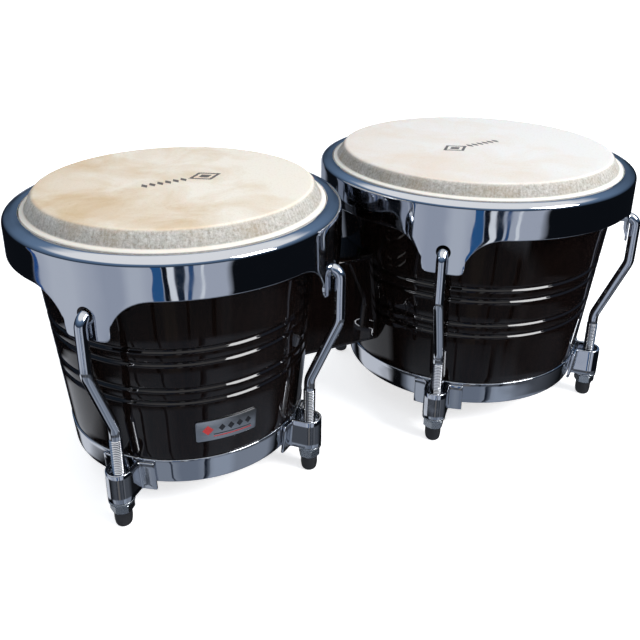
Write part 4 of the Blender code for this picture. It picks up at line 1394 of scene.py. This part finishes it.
def above(under, low, high, colour):
    """Lays a colour over another from one height of the sky upwards."""
    cover = add_node(tree, "ShaderNodeMapRange", {"Value": height, "From Min": low, "From Max": high})
    return add_node(tree, "ShaderNodeMix", {SHARE: cover, UNDER: under, OVER: colour}, data_type="RGBA")


print("world helpers ready")

# %% [markdown]
# Heights here are the upright part of a direction: -1 is straight down, 0 is eye height and 1 is straight up. The
# near table lies from straight down to -0.65 and shows in the rims' skirts and the foot bands, the shade of the
# player above it to -0.53, and the far table from there up to eye height.

# %% The world
near_table = uprights("#0b0c0f", (
    (45, 80, 12, "#868e9b"), (-170, 42, 8, "#7d8592"), (-22, 9, 8, "#a4abb6"), (-11, 1, 0.5, "#2a2f38"),
    (14, 0.9, 0.5, "#3a404b"), (33, 9, 7, "#737c8b"), (52, 2.6, 0.8, "#1d232e"), (68, 8, 9, "#9aa4b3"),
))
shade = uprights("#0a0b0d", (
    (50, 60, 40, "#4e5259"), (-170, 40, 10, "#4b4f56"), (-84, 22, 8, "#d4d8e0"), (12, 1.2, 0.6, "#0c0c0e"),
    (26, 4, 3, "#6d6a68"), (41, 0.9, 0.5, "#0c0c0e"), (63, 1.6, 0.8, "#17181b"), (74, 3, 3, "#64676d"),
))
far_table = uprights("#0f1217", (
    (0, 66, 5, "#b0b7c5"), (-170, 42, 8, "#8b93a2"), (-44, 8, 12, "#c2c8d3"), (-8, 5, 10, "#a2aaba"),
    (8, 3, 6, "#bcc3cf"), (-67, 1.7, 0.8, "#29508a"), (22.5, 3.2, 0.5, "#2c5a8c"), (28, 1.4, 0.5, "#10151f"),
    (31.5, 1.7, 0.5, "#e9edf2"), (36.5, 2.4, 0.5, "#1b2636"), (43, 1.2, 0.5, "#33517a"), (50.5, 0.8, 0.5, "#e3e8ef"),
))
CEILING = 0.98
dusk = above(linear("#121a27"), 0.0, 0.62, linear("#6f88a6"))
colour = above(near_table, -0.67, -0.63, shade)
colour = above(colour, -0.545, -0.52, far_table)
colour = above(colour, -0.02, 0.05, dusk)
colour = above(colour, 0.62, 0.74, (CEILING, CEILING, CEILING, 1.0))
tree.links.new(colour, tree.nodes["Background"].inputs["Color"])
print("world ready")

# %% [markdown]
# A broad softbox stands high to the right. It lights the right of each collar and leaves the left in shade,
# and it draws the bright streaks along the beads and the rolled rims.

# %% The softbox
light = bpy.data.lights.new("high_softbox", "AREA")
light.shape, light.size, light.energy = "SQUARE", 0.85, 37.0  # metres and watts
softbox = in_scene("high_softbox", light)
softbox.location = (0.92, -1.36, 1.39)
softbox.rotation_mode = "QUATERNION"
softbox.rotation_quaternion = (Vector((0.0, 0.0, 0.12)) - softbox.location).to_track_quat("-Z", "Y")
print("softbox", light.size, "m wide,", light.energy, "W")

# %% Finish
visual_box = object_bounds()
for label, box in (("CAD", cad_box), ("visual", visual_box)):
    print(label, [round((b - a) / MM, 1) for a, b in zip(*box)])
